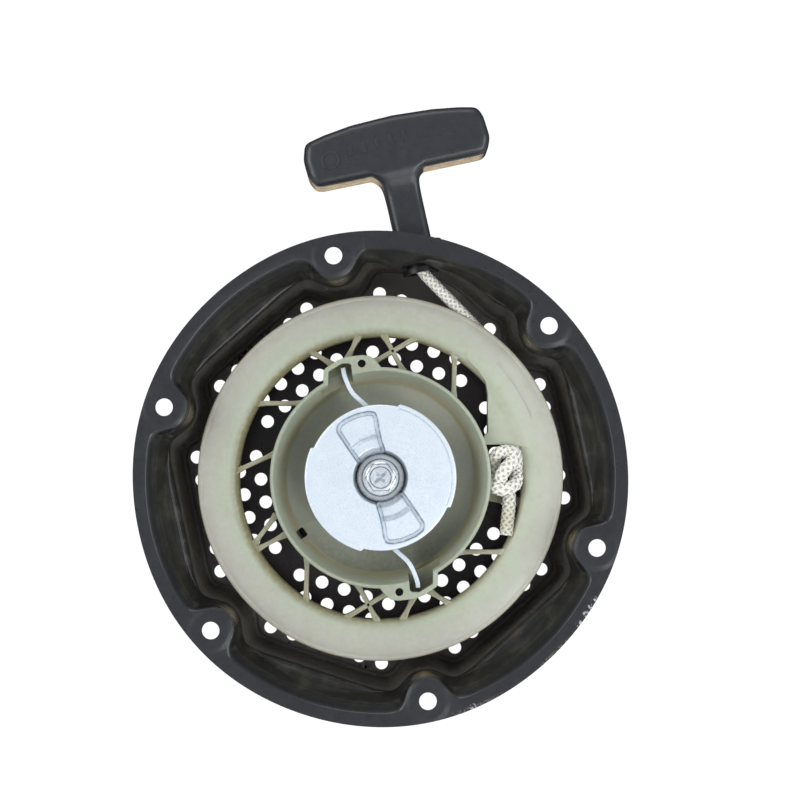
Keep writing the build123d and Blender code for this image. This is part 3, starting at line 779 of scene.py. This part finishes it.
# the grip seen square on: across the pull line, and along it from its foot
GRIP_BAR = [(-38.6, 28.2), (-41.2, 33.0), (-41.8, 42.0), (-39.6, 49.4), (-30.3, 51.5), (-16.9, 53.3), (2.4, 53.9),
            (21.5, 52.7), (33.9, 50.9), (42.4, 49.0), (44.2, 44.0), (45.0, 34.0), (42.0, 26.8), (13.0, 27.0),
            (-9.9, 27.8), (-22.7, 27.9)]
# the stem and its root in the grip: along the pull line, half width, half depth and corner radius
GRIP_STEM = [(-13.2, 7.9, 8.0, 3.4), (-12.7, 8.3, 8.4, 3.4), (0, 8.3, 8.4, 3.4), (13, 8.3, 8.4, 3.4),
             (18, 8.4, 8.6, 3.4), (21, 8.6, 9.1, 3.4), (23.5, 9.1, 9.9, 3.5), (25.5, 10.2, 10.9, 3.6),
             (27.4, 12.2, 11.6, 3.8), (28.8, 14.4, 12.0, 4.0), (31.0, 16.0, 12.0, 4.0), (38, 16.0, 11.9, 3.0)]
GRIP_CORNERS = [6, 8, 8, 4, 20, 20, 20, 20, 20, 5, 8, 8, 5, 20, 20, 20]
GRIP_HALF = 12.0              # half the grip's depth


def grip_solid(name, outline, half_depth, bevel, axes):
    """An outline across and along the pull line, filled to both sides and bevelled."""
    front, back = ([axes @ Vector((s, t, d)) for s, t in outline] for d in (-half_depth, half_depth))
    return bevelled(extruded(name, front, back), bevel, 5, 50)


def rounded_box(half_width, half_depth, radius):
    """The corners of a rounded rectangle, taken round once."""
    points, steps = [], 6
    for quarter, (u, v) in enumerate(((1, 1), (-1, 1), (-1, -1), (1, -1))):
        for k in range(steps + 1):
            angle = math.radians(90 * quarter + 90 * k / steps)
            points.append((u * (half_width - radius) + radius * math.cos(angle),
                           v * (half_depth - radius) + radius * math.sin(angle)))
    return points


def grip_loft(name, stations, axes):
    """A solid through rounded rectangles along the pull line."""
    rings = [[axes @ Vector((s, t, d)) for s, d in rounded_box(w, h, r)] for t, w, h, r in stations]
    count = len(rings[0])
    vertices = [v for ring in rings for v in ring]
    caps = [list(range(count)), list(range(len(vertices) - 1, len(vertices) - count - 1, -1))]
    return new_object(name, vertices, grid_faces(len(rings), count) + caps)


def make_handle():
    """The grip and its stem grown together, with the knot's hole from the top and the rope's bore below it."""
    axes = pull_matrix()
    bar = grip_solid("grip_bar", rounded(GRIP_BAR, GRIP_CORNERS, 5), GRIP_HALF, 4.4, axes)
    stem = grip_loft("grip_stem", GRIP_STEM, axes)
    boolean(bar, [stem], "UNION")
    # remeshed and smoothed, so that the stem runs into the grip as a moulding does
    remesh = bar.modifiers.new("remesh", "REMESH")
    remesh.mode = "VOXEL"
    remesh.voxel_size = 0.62 * MM
    smooth = bar.modifiers.new("smooth", "SMOOTH")
    smooth.factor = 0.5
    smooth.iterations = 10
    bake(bar, 60)
    hole = lathe("knot_hole", [(BORE_FLOOR, -20), (3.1, -20), (3.1, 34), (8, 34), (8, 51.6), (9.2, 53.2), (9.2, 60),
                               (BORE_FLOOR, 60)], 72, 35, axes)
    boolean(bar, [hole], "DIFFERENCE", 40)
    # plain raised marks: a ring and five short ribs
    face = GRIP_HALF + 0.05
    ring = [(3.2, 0.25), (3.8, 0.42), (4.4, 0.25), (4.5, -0.6), (3.1, -0.6)]
    centre = axes @ Matrix.Translation((-29.5, 39.0, face)) @ Matrix.Rotation(math.radians(90), 4, "X")
    marks = [lathe("mark_ring", ring, 48, 35, centre)]
    for k in range(5):
        s, t = -19.5 + 6.4 * k, 41.5 + 0.4 * k
        rib = [(s - 1.0, t - 2.6), (s + 1.0, t - 2.6), (s + 1.0, t + 2.6), (s - 1.0, t + 2.6)]
        marks.append(grip_solid(f"mark_{k}", rounded(rib, 0.8, 3), 0.45, 0.2,
                                axes @ Matrix.Translation((0, 0, face - 0.1))))
    return join("handle_grip", [bar] + marks, 40)


# ================================================================ reel

LUG = [(0.2, 51.0), (-2.7, 54.4), (-5.1, 55.9), (-8.0, 56.4), (-15.5, 55.6), (-20.0, 53.8), (-24.8, 50.7),
       (-26.2, 49.4), (-26.4, 43.0), (-20.0, 40.0), (0.0, 45.0)]
LUG_HOLE = (-8.65, 52.4)
POCKET = [(-13.6, 52.5), (-12.9, 46.5), (-12.6, 42.0), (-22.0, 37.5), (-24.1, 42.5), (-24.1, 48.8), (-17.8, 52.5)]
CLAW_ROOM = [(-16, 44), (-22, 36), (-27, 36.5), (-27.6, 41), (-24.1, 44)]
PAIRED_RIBS = (((-56.9, 34.4), (-36.7, 34.4)), ((-31.8, 58.4), (-23.2, 52.8)), ((-10.8, 64.8), (-14.9, 56.0)),
               ((-3.7, 53.2), (16.0, 64.8)), ((2.0, 65.4), (10.4, 49.7)), ((34.5, 56.4), (33.9, 37.9)))
SINGLE_RIBS = (((-67.0, 3.0), (-49.0, 11.1)), ((-58.5, -30.7), (-48.9, -18.0)), ((-56.9, -33.1), (-44.9, -26.8)))
ROPE_BLOCK = [(49.6, 38.5), (49.6, 21.0), (46.2, 17.2), (48.6, 15.2), (60.0, 15.2), (66.0, 14.2), (73.0, 12.0),
              (70.0, 30.0), (62.0, 44.0), (54.0, 53.0), (41.0, 61.0), (38.6, 56.0), (45.0, 49.6), (48.8, 44.0)]
ROPE_BLOCK_CORNERS = [4, 0.8, 2, 1, 1, 1, 1, 1, 1, 1, 1, 4, 4, 4]
SLOT_ANGLE = 215.2


def rib_points(start, end, width):
    """A rib's outline, wider where it runs into the ring and into the cup."""
    flare = 0.75
    a, b = Vector(start), Vector(end)
    run = (b - a).normalized()
    side = Vector((-run.y, run.x))
    length = (b - a).length
    stations = [(-1.5, flare), (0.4, 0.8 * flare), (1.6, 0.45 * flare), (3.4, 0.08), (length / 2, 0.0),
                (length - 3.4, 0.08), (length - 1.5, 0.4 * flare), (length + 1.2, flare)]
    right = [tuple(a + run * s + side * (width / 2 + f)) for s, f in stations]
    left = [tuple(a + run * s - side * (width / 2 + f)) for s, f in reversed(stations)]
    return right + left


def make_reel():
    """One moulding: hub, cup and spring chamber, ribs, the rope's block, the groove, and the pockets cut in them."""
    groove = [(65.4, 24.5), (65.5, 22.6), (66.1, 20.9), (67.4, 19.6), (69.4, 18.9), (72.0, 18.62), (78.0, 18.7),
              (82.0, 18.82), (82.25, 18.98), (82.6, 18.86), (83.6, 18.95), (84.2, 19.3), (84.4, 19.9), (84.2, 20.4),
              (83.6, 20.7), (67.2, 20.7), (67.0, 20.9), (67.0, 27.2), (67.2, 27.4), (83.6, 27.4), (84.3, 27.7),
              (84.4, 28.4), (84.1, 29.1), (83.4, 29.4), (66.2, 29.4), (65.4, 28.8)]
    cup = [(9.2, 17.6), (11.2, 17.6), (12.0, 18.2), (12.0, 32.9), (12.6, 33.5), (43.3, 33.5), (44.2, 32.9),
           (44.9, 31.6), (48.7, 14.6), (48.95, 13.6), (49.4, 13.05), (50.1, 12.95), (50.65, 13.3), (50.85, 14.2),
           (48.3, 35.4), (48.2, 36.0), (48.2, 48.2), (47.8, 48.6), (46.4, 48.6), (46.0, 48.2), (46.0, 36.0),
           (9.2, 36.0)]
    reel = lathe("reel_body", cup, 240, 40)
    ring = lathe("reel_ring", groove, 300, 40)
    lugs = []
    for outline in (LUG, half_turn(LUG)):
        lug = prism("lug", rounded(outline, 1.5, 3), 12.97, 28.5, 0.7)
        room = lathe("inner", [(BORE_FLOOR, 5), (49.55, 5), (49.2, 13.2), (44.6, 33.6), (BORE_FLOOR, 33.6)], 120)
        lugs.append(boolean(lug, [room], "DIFFERENCE"))
    runs = list(SINGLE_RIBS)
    for run in PAIRED_RIBS:
        runs += [run, half_turn(run)]
    ribs = [prism("rib", rib_points(*run, 2.0), 20.6, 28.4, 0.45) for run in runs]
    ribs.append(prism("ledge", strip_points((68.0, -12.3), (48.0, -8.0), 4.6), 26.6, 28.8, 0.4))
    block = prism("rope_block", rounded(ROPE_BLOCK, ROPE_BLOCK_CORNERS, 4), 18.66, 29.3, 0.5)
    boolean(reel, [ring] + lugs + ribs + [block], "UNION", 40)
    cutters = []
    for turned in (list, half_turn):
        for outline, front, back in ((POCKET, 5, 26.5), (CLAW_ROOM, 15.6, 26.5)):
            cutters.append(prism("pocket", rounded(turned(outline), 1.2, 3), front, back))
        cutters.append(prism("lug_hole", circle_points(*turned([LUG_HOLE])[0], 1.85, 28), 5, 30))
    # the slot in which the spring's outer end is hooked
    turn = math.radians(SLOT_ANGLE)
    middle, along = Vector(polar(45.1, SLOT_ANGLE)), Vector((math.cos(turn), math.sin(turn)))
    slot = [tuple(middle + along * u + Vector((-along.y, along.x)) * v)
            for u, v in ((-1.9, -2.3), (1.9, -2.3), (1.9, 2.3), (-1.9, 2.3))]
    cutters.append(prism("slot", rounded(slot, 0.6, 3), 24, 38))
    # the lead from the knot's pocket into the groove, a round bore that runs up the reel
    lead = extruded("lead", *([(x, y, z) for x, y in circle_points(60.4, 24.0, 3.0, 24)] for z in (8, 44)))
    boolean(reel, cutters + [lead], "DIFFERENCE", 40)
    reel.name = "reel_moulding"
    return reel


# ================================================================ rope

def smooth_route(points, step):
    """A route's points, evenly spaced, read from a cubic spline through its control points, in millimetres."""
    curve = bpy.data.curves.new("route", "CURVE")
    curve.dimensions = "3D"
    spline = curve.splines.new("NURBS")
    spline.points.add(len(points) - 1)
    for point, place in zip(spline.points, points):
        point.co = (*place, 1.0)
    spline.order_u = 3
    spline.use_endpoint_u = True
    spline.resolution_u = 24
    obj = bpy.data.objects.new("route", curve)
    bpy.context.scene.collection.objects.link(obj)
    bpy.context.view_layer.update()
    mesh = bpy.data.meshes.new_from_object(obj.evaluated_get(bpy.context.evaluated_depsgraph_get()))
    found = np.array([tuple(v.co) for v in mesh.vertices])
    bpy.data.objects.remove(obj, do_unlink=True)
    bpy.data.meshes.remove(mesh)
    gaps = np.linalg.norm(np.diff(found, axis=0), axis=1)
    along = np.concatenate([[0], np.cumsum(gaps)])
    count = max(int(along[-1] / step), 2)
    at = np.linspace(0, along[-1], count + 1)
    return np.stack([np.interp(at, along, found[:, k]) for k in range(3)], axis=1)


def frames_along(route):
    """A tangent and two normals at each point, turned as little as possible from one point to the next."""
    tangents = np.gradient(route, axis=0)
    tangents /= np.linalg.norm(tangents, axis=1)[:, None]
    normal = np.cross(tangents[0], (0.3, 1.0, 0.2))
    normal /= np.linalg.norm(normal)
    normals = []
    for tangent in tangents:
        normal = normal - tangent * np.dot(normal, tangent)
        normal /= np.linalg.norm(normal)
        normals.append(normal)
    normals = np.array(normals)
    return normals, np.cross(tangents, normals)


def swept(route, normals, binormals, radius, sides, centre=None, flat=1.0):
    """Vertices and faces of a tube round a route, with closed ends."""
    count = len(route)
    angles = np.linspace(0, 2 * np.pi, sides, endpoint=False)
    centre = route if centre is None else centre
    rings = (centre[:, None, :] + radius * (np.cos(angles)[None, :, None] * normals[:, None, :]
             + flat * np.sin(angles)[None, :, None] * binormals[:, None, :]))
    vertices = [tuple(v) for v in rings.reshape(-1, 3)]
    ends = [tuple(range(sides)), tuple(range(count * sides - 1, (count - 1) * sides - 1, -1))]
    return vertices, grid_faces(count, sides) + ends


def braid(name, points, radius=ROPE, spline=True):
    """A braided rope along a route: a core, and strands that cross over and under each other round it."""
    carriers, pitch = 12, 20.0
    route = smooth_route(points, 0.4) if spline else np.array(points, float)
    normals, binormals = frames_along(route)
    along = np.concatenate([[0], np.cumsum(np.linalg.norm(np.diff(route, axis=0), axis=1))])
    pairs = carriers // 2
    turn_length = 2 * math.pi * radius * 0.88
    wide = 0.88 * turn_length / pairs * math.cos(math.atan(turn_length / pitch))
    thick = radius * 0.15
    vertices, faces = swept(route, normals, binormals, radius * 0.80, 12)
    # painted shade on the core, which shows in the gaps between the strands
    painted_shade = [0.55] * len(vertices)
    # painted shade: a strand is darkest at its edges and beneath
    strand_shade = [0.8, 0.12, 0.0, 0.12, 0.8, 0.8, 0.8, 0.8]
    sides = len(strand_shade)
    for way in (1, -1):
        for k in range(pairs):
            turn = way * (2 * np.pi * along / pitch) + 2 * np.pi * k / pairs + (0 if way == 1 else np.pi / pairs)
            # a strand rides over one crossing and under the next
            out = radius - thick - 0.06 * radius + 0.09 * radius * np.sin(2 * np.pi * along / pitch * pairs) * way
            radial = np.cos(turn)[:, None] * normals + np.sin(turn)[:, None] * binormals
            sideways = -np.sin(turn)[:, None] * normals + np.cos(turn)[:, None] * binormals
            centre = route + radial * out[:, None]
            more, shapes = swept(route, sideways, radial, wide / 2, sides, centre, 2 * thick / wide)
            start = len(vertices)
            vertices += more
            painted_shade += strand_shade * len(route)
            faces += [tuple(start + i for i in f) for f in shapes]
    return new_object(name, vertices, faces, 60, painted_shade)


def pull_point(distance):
    """A point on the pull line, at a distance from its foot."""
    return PULL_FOOT + PULL * distance


def wound_route():
    """Three layers wound outwards in the reel's groove, ending where the rope leaves it."""
    bend = pull_point(BEND_AT)
    leave = math.atan2(bend.z, bend.x) - math.acos(LAYERS[-1] / math.hypot(bend.x, bend.z))
    start = leave - 2 * math.pi * 2.93
    points = []
    for angle in np.linspace(start, leave, 960):
        turn = (angle - start) / (2 * math.pi)
        layer = min(int(turn), 2)
        # each layer climbs on to the next one in the last tenth of its turn
        lift = smooth_step(turn - layer, 0.9, 1.0) if layer < 2 else 0.0
        radius = LAYERS[0] + 2 * ROPE * (layer + lift)
        points.append((radius * math.cos(angle), ROPE_Y + 0.35 * math.sin(7 * angle), radius * math.sin(angle)))
    return points, bend


def make_ropes():
    """The wound rope, and the run from where it leaves the reel to the handle's foot."""
    wound, bend = wound_route()
    wraps = braid("rope_wound", wound, 2.6, spline=False)
    last = Vector(wound[-1])
    toward = (bend - last).normalized()
    run = braid("rope_running", [tuple(last - toward * 1.5), tuple(last + toward * 5), tuple(last + toward * 12),
                                 tuple(last.lerp(bend, 0.80)), tuple(bend), tuple(pull_point(-13.6)),
                                 tuple(pull_point(-9.0))])
    return wraps, run


# the stopper knot in the reel's pocket, from the lead to the tail's cut end
KNOT_ROUTE = [(60.4, 24.0, 18.0), (62.4, 22.8, 12.4), (63.0, 20.6, 7.6), (62.6, 21.6, 2.8), (63.0, 18.8, -1.8),
              (60.6, 15.4, -4.4), (56.6, 14.2, -5.8), (53.0, 16.8, -4.8), (51.9, 21.6, -2.2), (53.4, 24.0, 2.0),
              (52.2, 21.2, 6.6), (53.2, 18.8, 10.4), (57.0, 17.0, 12.4), (61.4, 15.4, 11.6), (61.4, 14.0, 8.0),
              (57.0, 13.4, 3.8), (55.0, 15.8, -0.6), (56.0, 20.4, -3.6), (59.0, 22.2, -6.0), (59.7, 20.6, -10.2),
              (58.9, 20.6, -18.0), (58.0, 20.8, -26.6)]


# the knot in the grip: across the pull line, towards the engine, and along the line
HANDLE_KNOT = [(0.0, 0.0, 33.0), (0.4, 0.2, 36.5), (2.6, 1.4, 39.2), (2.2, -2.4, 41.6),
               (-1.8, -3.0, 42.4), (-3.2, 0.8, 40.4), (-0.6, 3.2, 38.6), (2.6, 2.2, 40.6), (1.4, -0.6, 43.6),
               (-0.8, -0.4, 45.8), (-1.2, 0.4, 48.0)]


def make_handle_rope():
    """The rope up the stem, and the stopper knot in the grip's top."""
    axes = pull_matrix()
    lower = [axes @ Vector((0, t, 0)) for t in (-13.0, -2.0, 10.0, 22.0, 28.0)]
    lower += [axes @ Vector((s, t, d)) for s, d, t in HANDLE_KNOT]
    return braid("rope_in_grip", [tuple(p) for p in lower], 2.55)


# ================================================================ friction plate, screw, claws

ARM = [(-2.2, 30.2), (-5.7, 30.6), (-10.7, 29.6), (-16.6, 27.0), (-20.0, 24.3), (-20.5, 21.0), (-15.8, 13.9),
       (-11.3, 7.4), (-3.0, 0.0), (2.7, 11.4), (0.8, 17.3), (-0.3, 22.2), (-1.0, 27.0)]
ARM_OUTLINE = rounded(ARM, [2.2, 8, 9, 5, 3, 3, 9, 4, 0, 4, 9, 9, 9], 4)


def plate_shape(x, z):
    """How far the friction plate's face lies behind its rim, and how much painted shade its well, creases and slopes
    get.
    """
    def line(value, at, width):
        return np.exp(-((value - at) / width) ** 2)

    r = np.hypot(x, z)
    depth = 3.6 * smooth_step(-r, -13.0, -10.6)
    # painted shade over the well, darkest along its edge
    painted_shade = np.maximum(0.42 * smooth_step(-r, -12.8, -12.2), 0.95 * line(r, 11.2, 0.45))
    for side in (1, -1):
        inset = polygon_inset(side * x, side * z, ARM_OUTLINE)
        floor = 1.5 + 1.0 * smooth_step(-r, -20.4, -17.8) + 1.1 * smooth_step(-r, -14.2, -12.2)
        depth = np.maximum(depth, floor * smooth_step(inset, 0.0, 1.9))
        # painted shade: dark lines at both borders of each arm's recess, a band between them, and the step in its
        # floor
        lines = np.maximum(line(inset, 0.35, 0.33), 0.75 * line(inset, 1.95, 0.3))
        band = 0.26 * smooth_step(inset, 0.2, 0.5) * smooth_step(-inset, -2.1, -1.7)
        slope = 0.46 * smooth_step(-r, -20.6, -20.0) * smooth_step(r, 17.5, 18.1) * smooth_step(inset, 0.4, 1.6)
        painted_shade = np.maximum.reduce([painted_shade, lines, band, slope])
    return depth, painted_shade


def make_plate():
    """Pressed zinc-plated plate: a grid of rings pushed into shape, with wings, skirts and a thickness."""
    degrees = np.arange(0, 360, 0.75)
    angles = np.radians(degrees)
    wing = np.zeros(len(angles))
    for middle in (26.2, 206.2):
        away = np.abs((degrees - middle + 180) % 360 - 180)
        wing = np.maximum(wing, smooth_step(-away, -50.0, -49.2))
    edge = 33.5 + 1.4 * wing
    right = wing * (np.cos(angles - math.radians(10)) > 0)
    inner = 7.7
    rings, painted_shades = [], []
    for f in np.linspace(0, 1, 134):
        r = inner + (edge - 0.9 - inner) * f
        x, z = r * np.cos(angles), r * np.sin(angles)
        bow = 0.35 * np.clip((r - 13) / 22, 0, 1) ** 2
        depth, painted_shade = plate_shape(x, z)
        groove = right * np.exp(-((edge - r - 2.3) / 0.3) ** 2)
        rings.append(np.stack([x, plate_low[1] + 0.05 + bow + depth + 0.12 * groove, z], axis=1))
        # painted shade in the groove on the right wing
        painted_shades.append(np.maximum(painted_shade, 0.4 * groove))
    for out, back, skirt in ((0.62, 0.14, 0.1), (0.86, 0.42, 0.8), (0.9, 0.8, 2.6), (0.9, 1.05, 4.0)):
        r = edge - 0.9 + out
        y = plate_low[1] + 0.4 + back + skirt * wing * (back > 0.3) * 0.9
        rings.append(np.stack([r * np.cos(angles), y, r * np.sin(angles)], axis=1))
        # painted shade on the rim's bend and the skirt
        painted_shades.append(0.35 * (out > 0.7) * np.ones(len(angles)))
    count = len(angles)
    vertices = [tuple(v) for ring in rings for v in ring]
    plate = new_object("friction_plate_pressing", vertices, grid_faces(len(rings), count), 60, np.concatenate(painted_shades))
    if plate.data.polygons[count * 60].normal.y > 0:
        plate.data.flip_normals()
    thickened(plate, 1.15)
    return bake(plate, 40)


def make_screw():
    """Flanged hexagon screw with a cross recess."""
    low, high = screw_low[1], screw_high[1]
    neck = low + 5.0
    flange = lathe("screw_flange", [(BORE_FLOOR, neck - 1.0), (6.3, neck - 1.0), (6.9, neck - 0.75),
                                    (7.6, neck + 0.1), (8.2, neck + 0.5), (8.4, neck + 0.75), (8.3, neck + 1.1),
                                    (8.0, neck + 1.2), (4.0, neck + 1.2), (4.0, high - 0.6), (3.5, high), (BORE_FLOOR, high)], 96)
    hexagon = [polar(12 / math.sqrt(3), 60 * k + 2) for k in range(6)]
    head = prism("screw_head", hexagon, low, neck - 0.3)
    trim = lathe("screw_trim", [(BORE_FLOOR, low - 1), (BORE_FLOOR, neck + 1), (9, neck + 1), (7.3, low + 1.4),
                                (6.5, low + 0.5), (5.9, low + 0.05), (5.4, low - 0.05), (5.1, low - 1)], 96)
    boolean(head, [trim], "INTERSECT")
    dish = lathe("screw_dish", [(BORE_FLOOR, low - 1), (5.0, low - 1), (4.9, low + 0.1), (4.4, low + 0.6),
                                (BORE_FLOOR, low + 0.7)], 72)
    # one bar of the cross: the half of its outline along one side, and the same mirrored
    side = [(-4.588, -0.5208), (-3.844, -0.7688), (-2.108, -0.9672), (-1.116, -1.426), (1.116, -1.426),
            (2.108, -0.9672), (3.844, -0.7688), (4.588, -0.5208)]
    arms = []
    for angle in (43, 133):
        c, s = math.cos(math.radians(angle)), math.sin(math.radians(angle))
        outline = [(x * c - z * s, x * s + z * c) for x, z in side + half_turn(side)]
        # narrower at its floor
        arms.append(extruded("arm", [(x, low - 1, z) for x, z in outline],
                             [(0.55 * x, low + 3.2, 0.55 * z) for x, z in outline]))
    middle = lathe("recess", [(BORE_FLOOR, low - 1), (1.75, low - 1), (1.2, low + 3.0), (BORE_FLOOR, low + 3.6)], 24)
    boolean(head, [dish] + arms + [middle], "DIFFERENCE")
    return join("screw", [flange, head], 30)


CLAW_EYE = (11.0, 17.5)       # where claw_a turns on its pin


def make_claw(name, side):
    """A ratchet claw: a bent strip with an eye, standing on edge."""
    path = [(-17.3, 50.6), (-16.9, 47.4), (-14.8, 42.0), (-12.6, 38.4), (-9.6, 35.8), (-5.0, 31.6), CLAW_EYE]
    route = [Vector(p) for p in rounded_path(path)]
    left, right = [], []
    for i, point in enumerate(route):
        ahead = route[min(i + 1, len(route) - 1)] - route[max(i - 1, 0)]
        across = Vector((-ahead.y, ahead.x)).normalized()
        half = 0.55 if i == 0 else 1.0
        left.append(tuple(point + across * half))
        right.append(tuple(point - across * half))
    front, back = claw_low[1], claw_high[1]
    strip = prism(name, left + right[::-1], front, back, 0.25, 40)
    pivot = Matrix.Translation((CLAW_EYE[0], 0, CLAW_EYE[1]))
    eye = lathe(name + "_eye", [(2.56, front + 0.2), (2.8, front), (4.2, front), (4.4, front + 0.2),
                                (4.4, back - 0.2), (4.2, back), (2.8, back), (2.56, back - 0.2)], 48, 35, pivot)
    bore = lathe(name + "_bore", disc_cutter(2.7, front - 1, back + 1), 32, 35, pivot)
    boolean(strip, [bore], "DIFFERENCE")
    claw = join(name, [strip, eye], 40)
    if side < 0:
        claw.data.transform(Matrix.Rotation(math.pi, 4, "Y"))
    return claw


def rounded_path(points):
    """Corner cutting that keeps both ends."""
    for _ in range(3):
        out = [points[0]]
        for a, b in zip(points, points[1:]):
            a, b = Vector(a), Vector(b)
            out += [tuple(a.lerp(b, 0.25)), tuple(a.lerp(b, 0.75))]
        points = out + [points[-1]]
    return points


# ================================================================ build

def place(obj, look, slot, body, *nodes):
    """Finish a piece: its material, the body it moves with and the CAD nodes it stands for."""
    dress(obj, look)
    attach(obj, body)
    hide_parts(*nodes)
    return obj


place(make_housing(), PAINT, "black_paint", "housing", "housing_shell")
place(make_screw(), SCREW, "zinc_steel", "housing", "centre_screw")
place(make_reel(), NYLON, "natural_nylon", "reel", "reel")
place(make_plate(), ZINC, "zinc_plate", "plate", "friction_plate")
place(make_claw("ratchet_claw_a", 1), ZINC, "zinc_plate", "claw_a", "claw_a")
place(make_claw("ratchet_claw_b", -1), ZINC, "zinc_plate", "claw_b", "claw_b")
place(make_handle(), GRIP, "grip_plastic", "handle", "handle")
wound_rope, running_rope = make_ropes()
place(wound_rope, ROPE_LOOK, "rope", "reel", "rope_wraps")
place(running_rope, ROPE_LOOK, "rope", "housing", "rope_run")
place(braid("knot_rope", KNOT_ROUTE, 3.15), ROPE_LOOK, "rope", "reel", "rope_knot")
place(make_handle_rope(), ROPE_LOOK, "rope", "handle", "rope_in_handle", "handle_knot")

# the rope between the guide and the stem, which on the real starter draws out as the handle is pulled
drawn = braid("rope_drawn", [tuple(pull_point(t)) for t in (-15.0, -11.0, -7.0, -3.0)], 2.5)
dress(drawn, ROPE_LOOK)
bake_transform(drawn)

CAD_LOOKS = {"centre_post": STEEL, "plate_washer": WASHER, "rope_guide": GUIDE, "reel_bush": BRONZE,
             "recoil_spring": SPRING, "friction_spring": SPRING, "claw_pin_a": STEEL, "claw_pin_b": STEEL,
             "claw_spring_a": SPRING, "claw_spring_b": SPRING, "grip_reinforcement": STEEL}
for node, look in CAD_LOOKS.items():
    dress(frame["nodes"][node], look)


# ================================================================ light, floor and camera

def area_light(name, place_mm, target_mm, size_mm, power, colour=(1, 1, 1)):
    data = bpy.data.lights.new(name, "AREA")
    data.shape = "RECTANGLE"
    data.size, data.size_y = size_mm[0] * MM, size_mm[1] * MM
    data.energy = power
    data.color = colour
    lamp = bpy.data.objects.new(name, data)
    bpy.context.scene.collection.objects.link(lamp)
    lamp.location = Vector(place_mm) * MM
    lamp.rotation_euler = (Vector(target_mm) - Vector(place_mm)).to_track_quat("-Z", "Y").to_euler()
    return lamp


MIDDLE = (0, 20, 20)          # what the lights point at
area_light("left_soft", (-900, -850, 250), MIDDLE, (700, 1000), 8.4)
area_light("right_soft", (950, -700, -50), MIDDLE, (600, 900), 6.6, (0.94, 0.97, 1.0))
area_light("top_soft", (-100, -600, 1150), MIDDLE, (900, 700), 4.4)
area_light("low_soft", (520, -1000, -480), MIDDLE, (500, 300), 3.6)
back_fill = area_light("back_fill", (300, 1300, 700), MIDDLE, (900, 900), 1.5)
back_fill.visible_glossy = False
# light thrown back by a wooden bench behind, which only the grip's underside catches
bench = area_light("bench_bounce", (-300, 1500, -190), (0, 24, 150), (1500, 420), 4.6, (1.0, 0.78, 0.5))
only_grip = bpy.data.collections.new("lit_by_bench")
only_grip.objects.link(bpy.data.objects["handle_grip"])
bench.light_linking.receiver_collection = only_grip
bench.visible_camera = False

world = bpy.data.worlds.new("studio")
bpy.context.scene.world = world
world.use_nodes = True
nodes, links = world.node_tree.nodes, world.node_tree.links
background = nodes["Background"]
background.inputs["Color"].default_value = (0.92, 0.95, 1.0, 1.0)
# the room is dim behind the starter and lighter in front of it, as strengths from one depth to another
ways = nodes.new("ShaderNodeTexCoord")
split = nodes.new("ShaderNodeSeparateXYZ")
links.new(ways.outputs["Generated"], split.inputs[0])
fade = nodes.new("ShaderNodeMapRange")
for value, socket in zip((-0.1, 0.35, 0.32, 0.05), list(fade.inputs)[1:5]):
    socket.default_value = value
links.new(split.outputs["Y"], fade.inputs[0])
links.new(fade.outputs[0], background.inputs["Strength"])
clear = nodes.new("ShaderNodeBackground")
clear.inputs["Color"].default_value = (1, 1, 1, 1)
clear.inputs["Strength"].default_value = 1.05
light_path = nodes.new("ShaderNodeLightPath")
choose = nodes.new("ShaderNodeMixShader")
links.new(light_path.outputs["Is Camera Ray"], choose.inputs["Fac"])
links.new(background.outputs[0], choose.inputs[1])
links.new(clear.outputs[0], choose.inputs[2])
links.new(choose.outputs[0], nodes["World Output"].inputs["Surface"])

floor_data = bpy.data.meshes.new("floor")
floor_corners = [(x, y, -0.6) for x, y in ((-2.5, -2.5), (2.5, -2.5), (2.5, 1.8), (-2.5, 1.8))]
floor_data.from_pydata(floor_corners, [], [(0, 1, 2, 3)])
floor = bpy.data.objects.new("floor", floor_data)
bpy.context.scene.collection.objects.link(floor)
pale = Look("floor_pale", roughness=0.9)
pale_colour = pale.mix(pale.noise(200, 3), (0.9, 0.9, 0.9, 1), (0.84, 0.84, 0.84, 1))
pale.set("Base Color", pale_colour).set("Emission Color", pale_colour).set("Emission Strength", 0.22)
dress(floor, pale)

camera_data = bpy.data.cameras.new("camera")
camera_data.sensor_width = 36
camera_data.lens = 89.5
camera_data.clip_start = 0.01
camera = bpy.data.objects.new("camera", camera_data)
bpy.context.scene.collection.objects.link(camera)
camera.location = (0, -0.9, 0)
camera.rotation_euler = (Vector((0.0088, 0, 0.0351)) - camera.location).to_track_quat("-Z", "Y").to_euler()
bpy.context.scene.camera = camera
bpy.context.scene.view_settings.view_transform = "Standard"
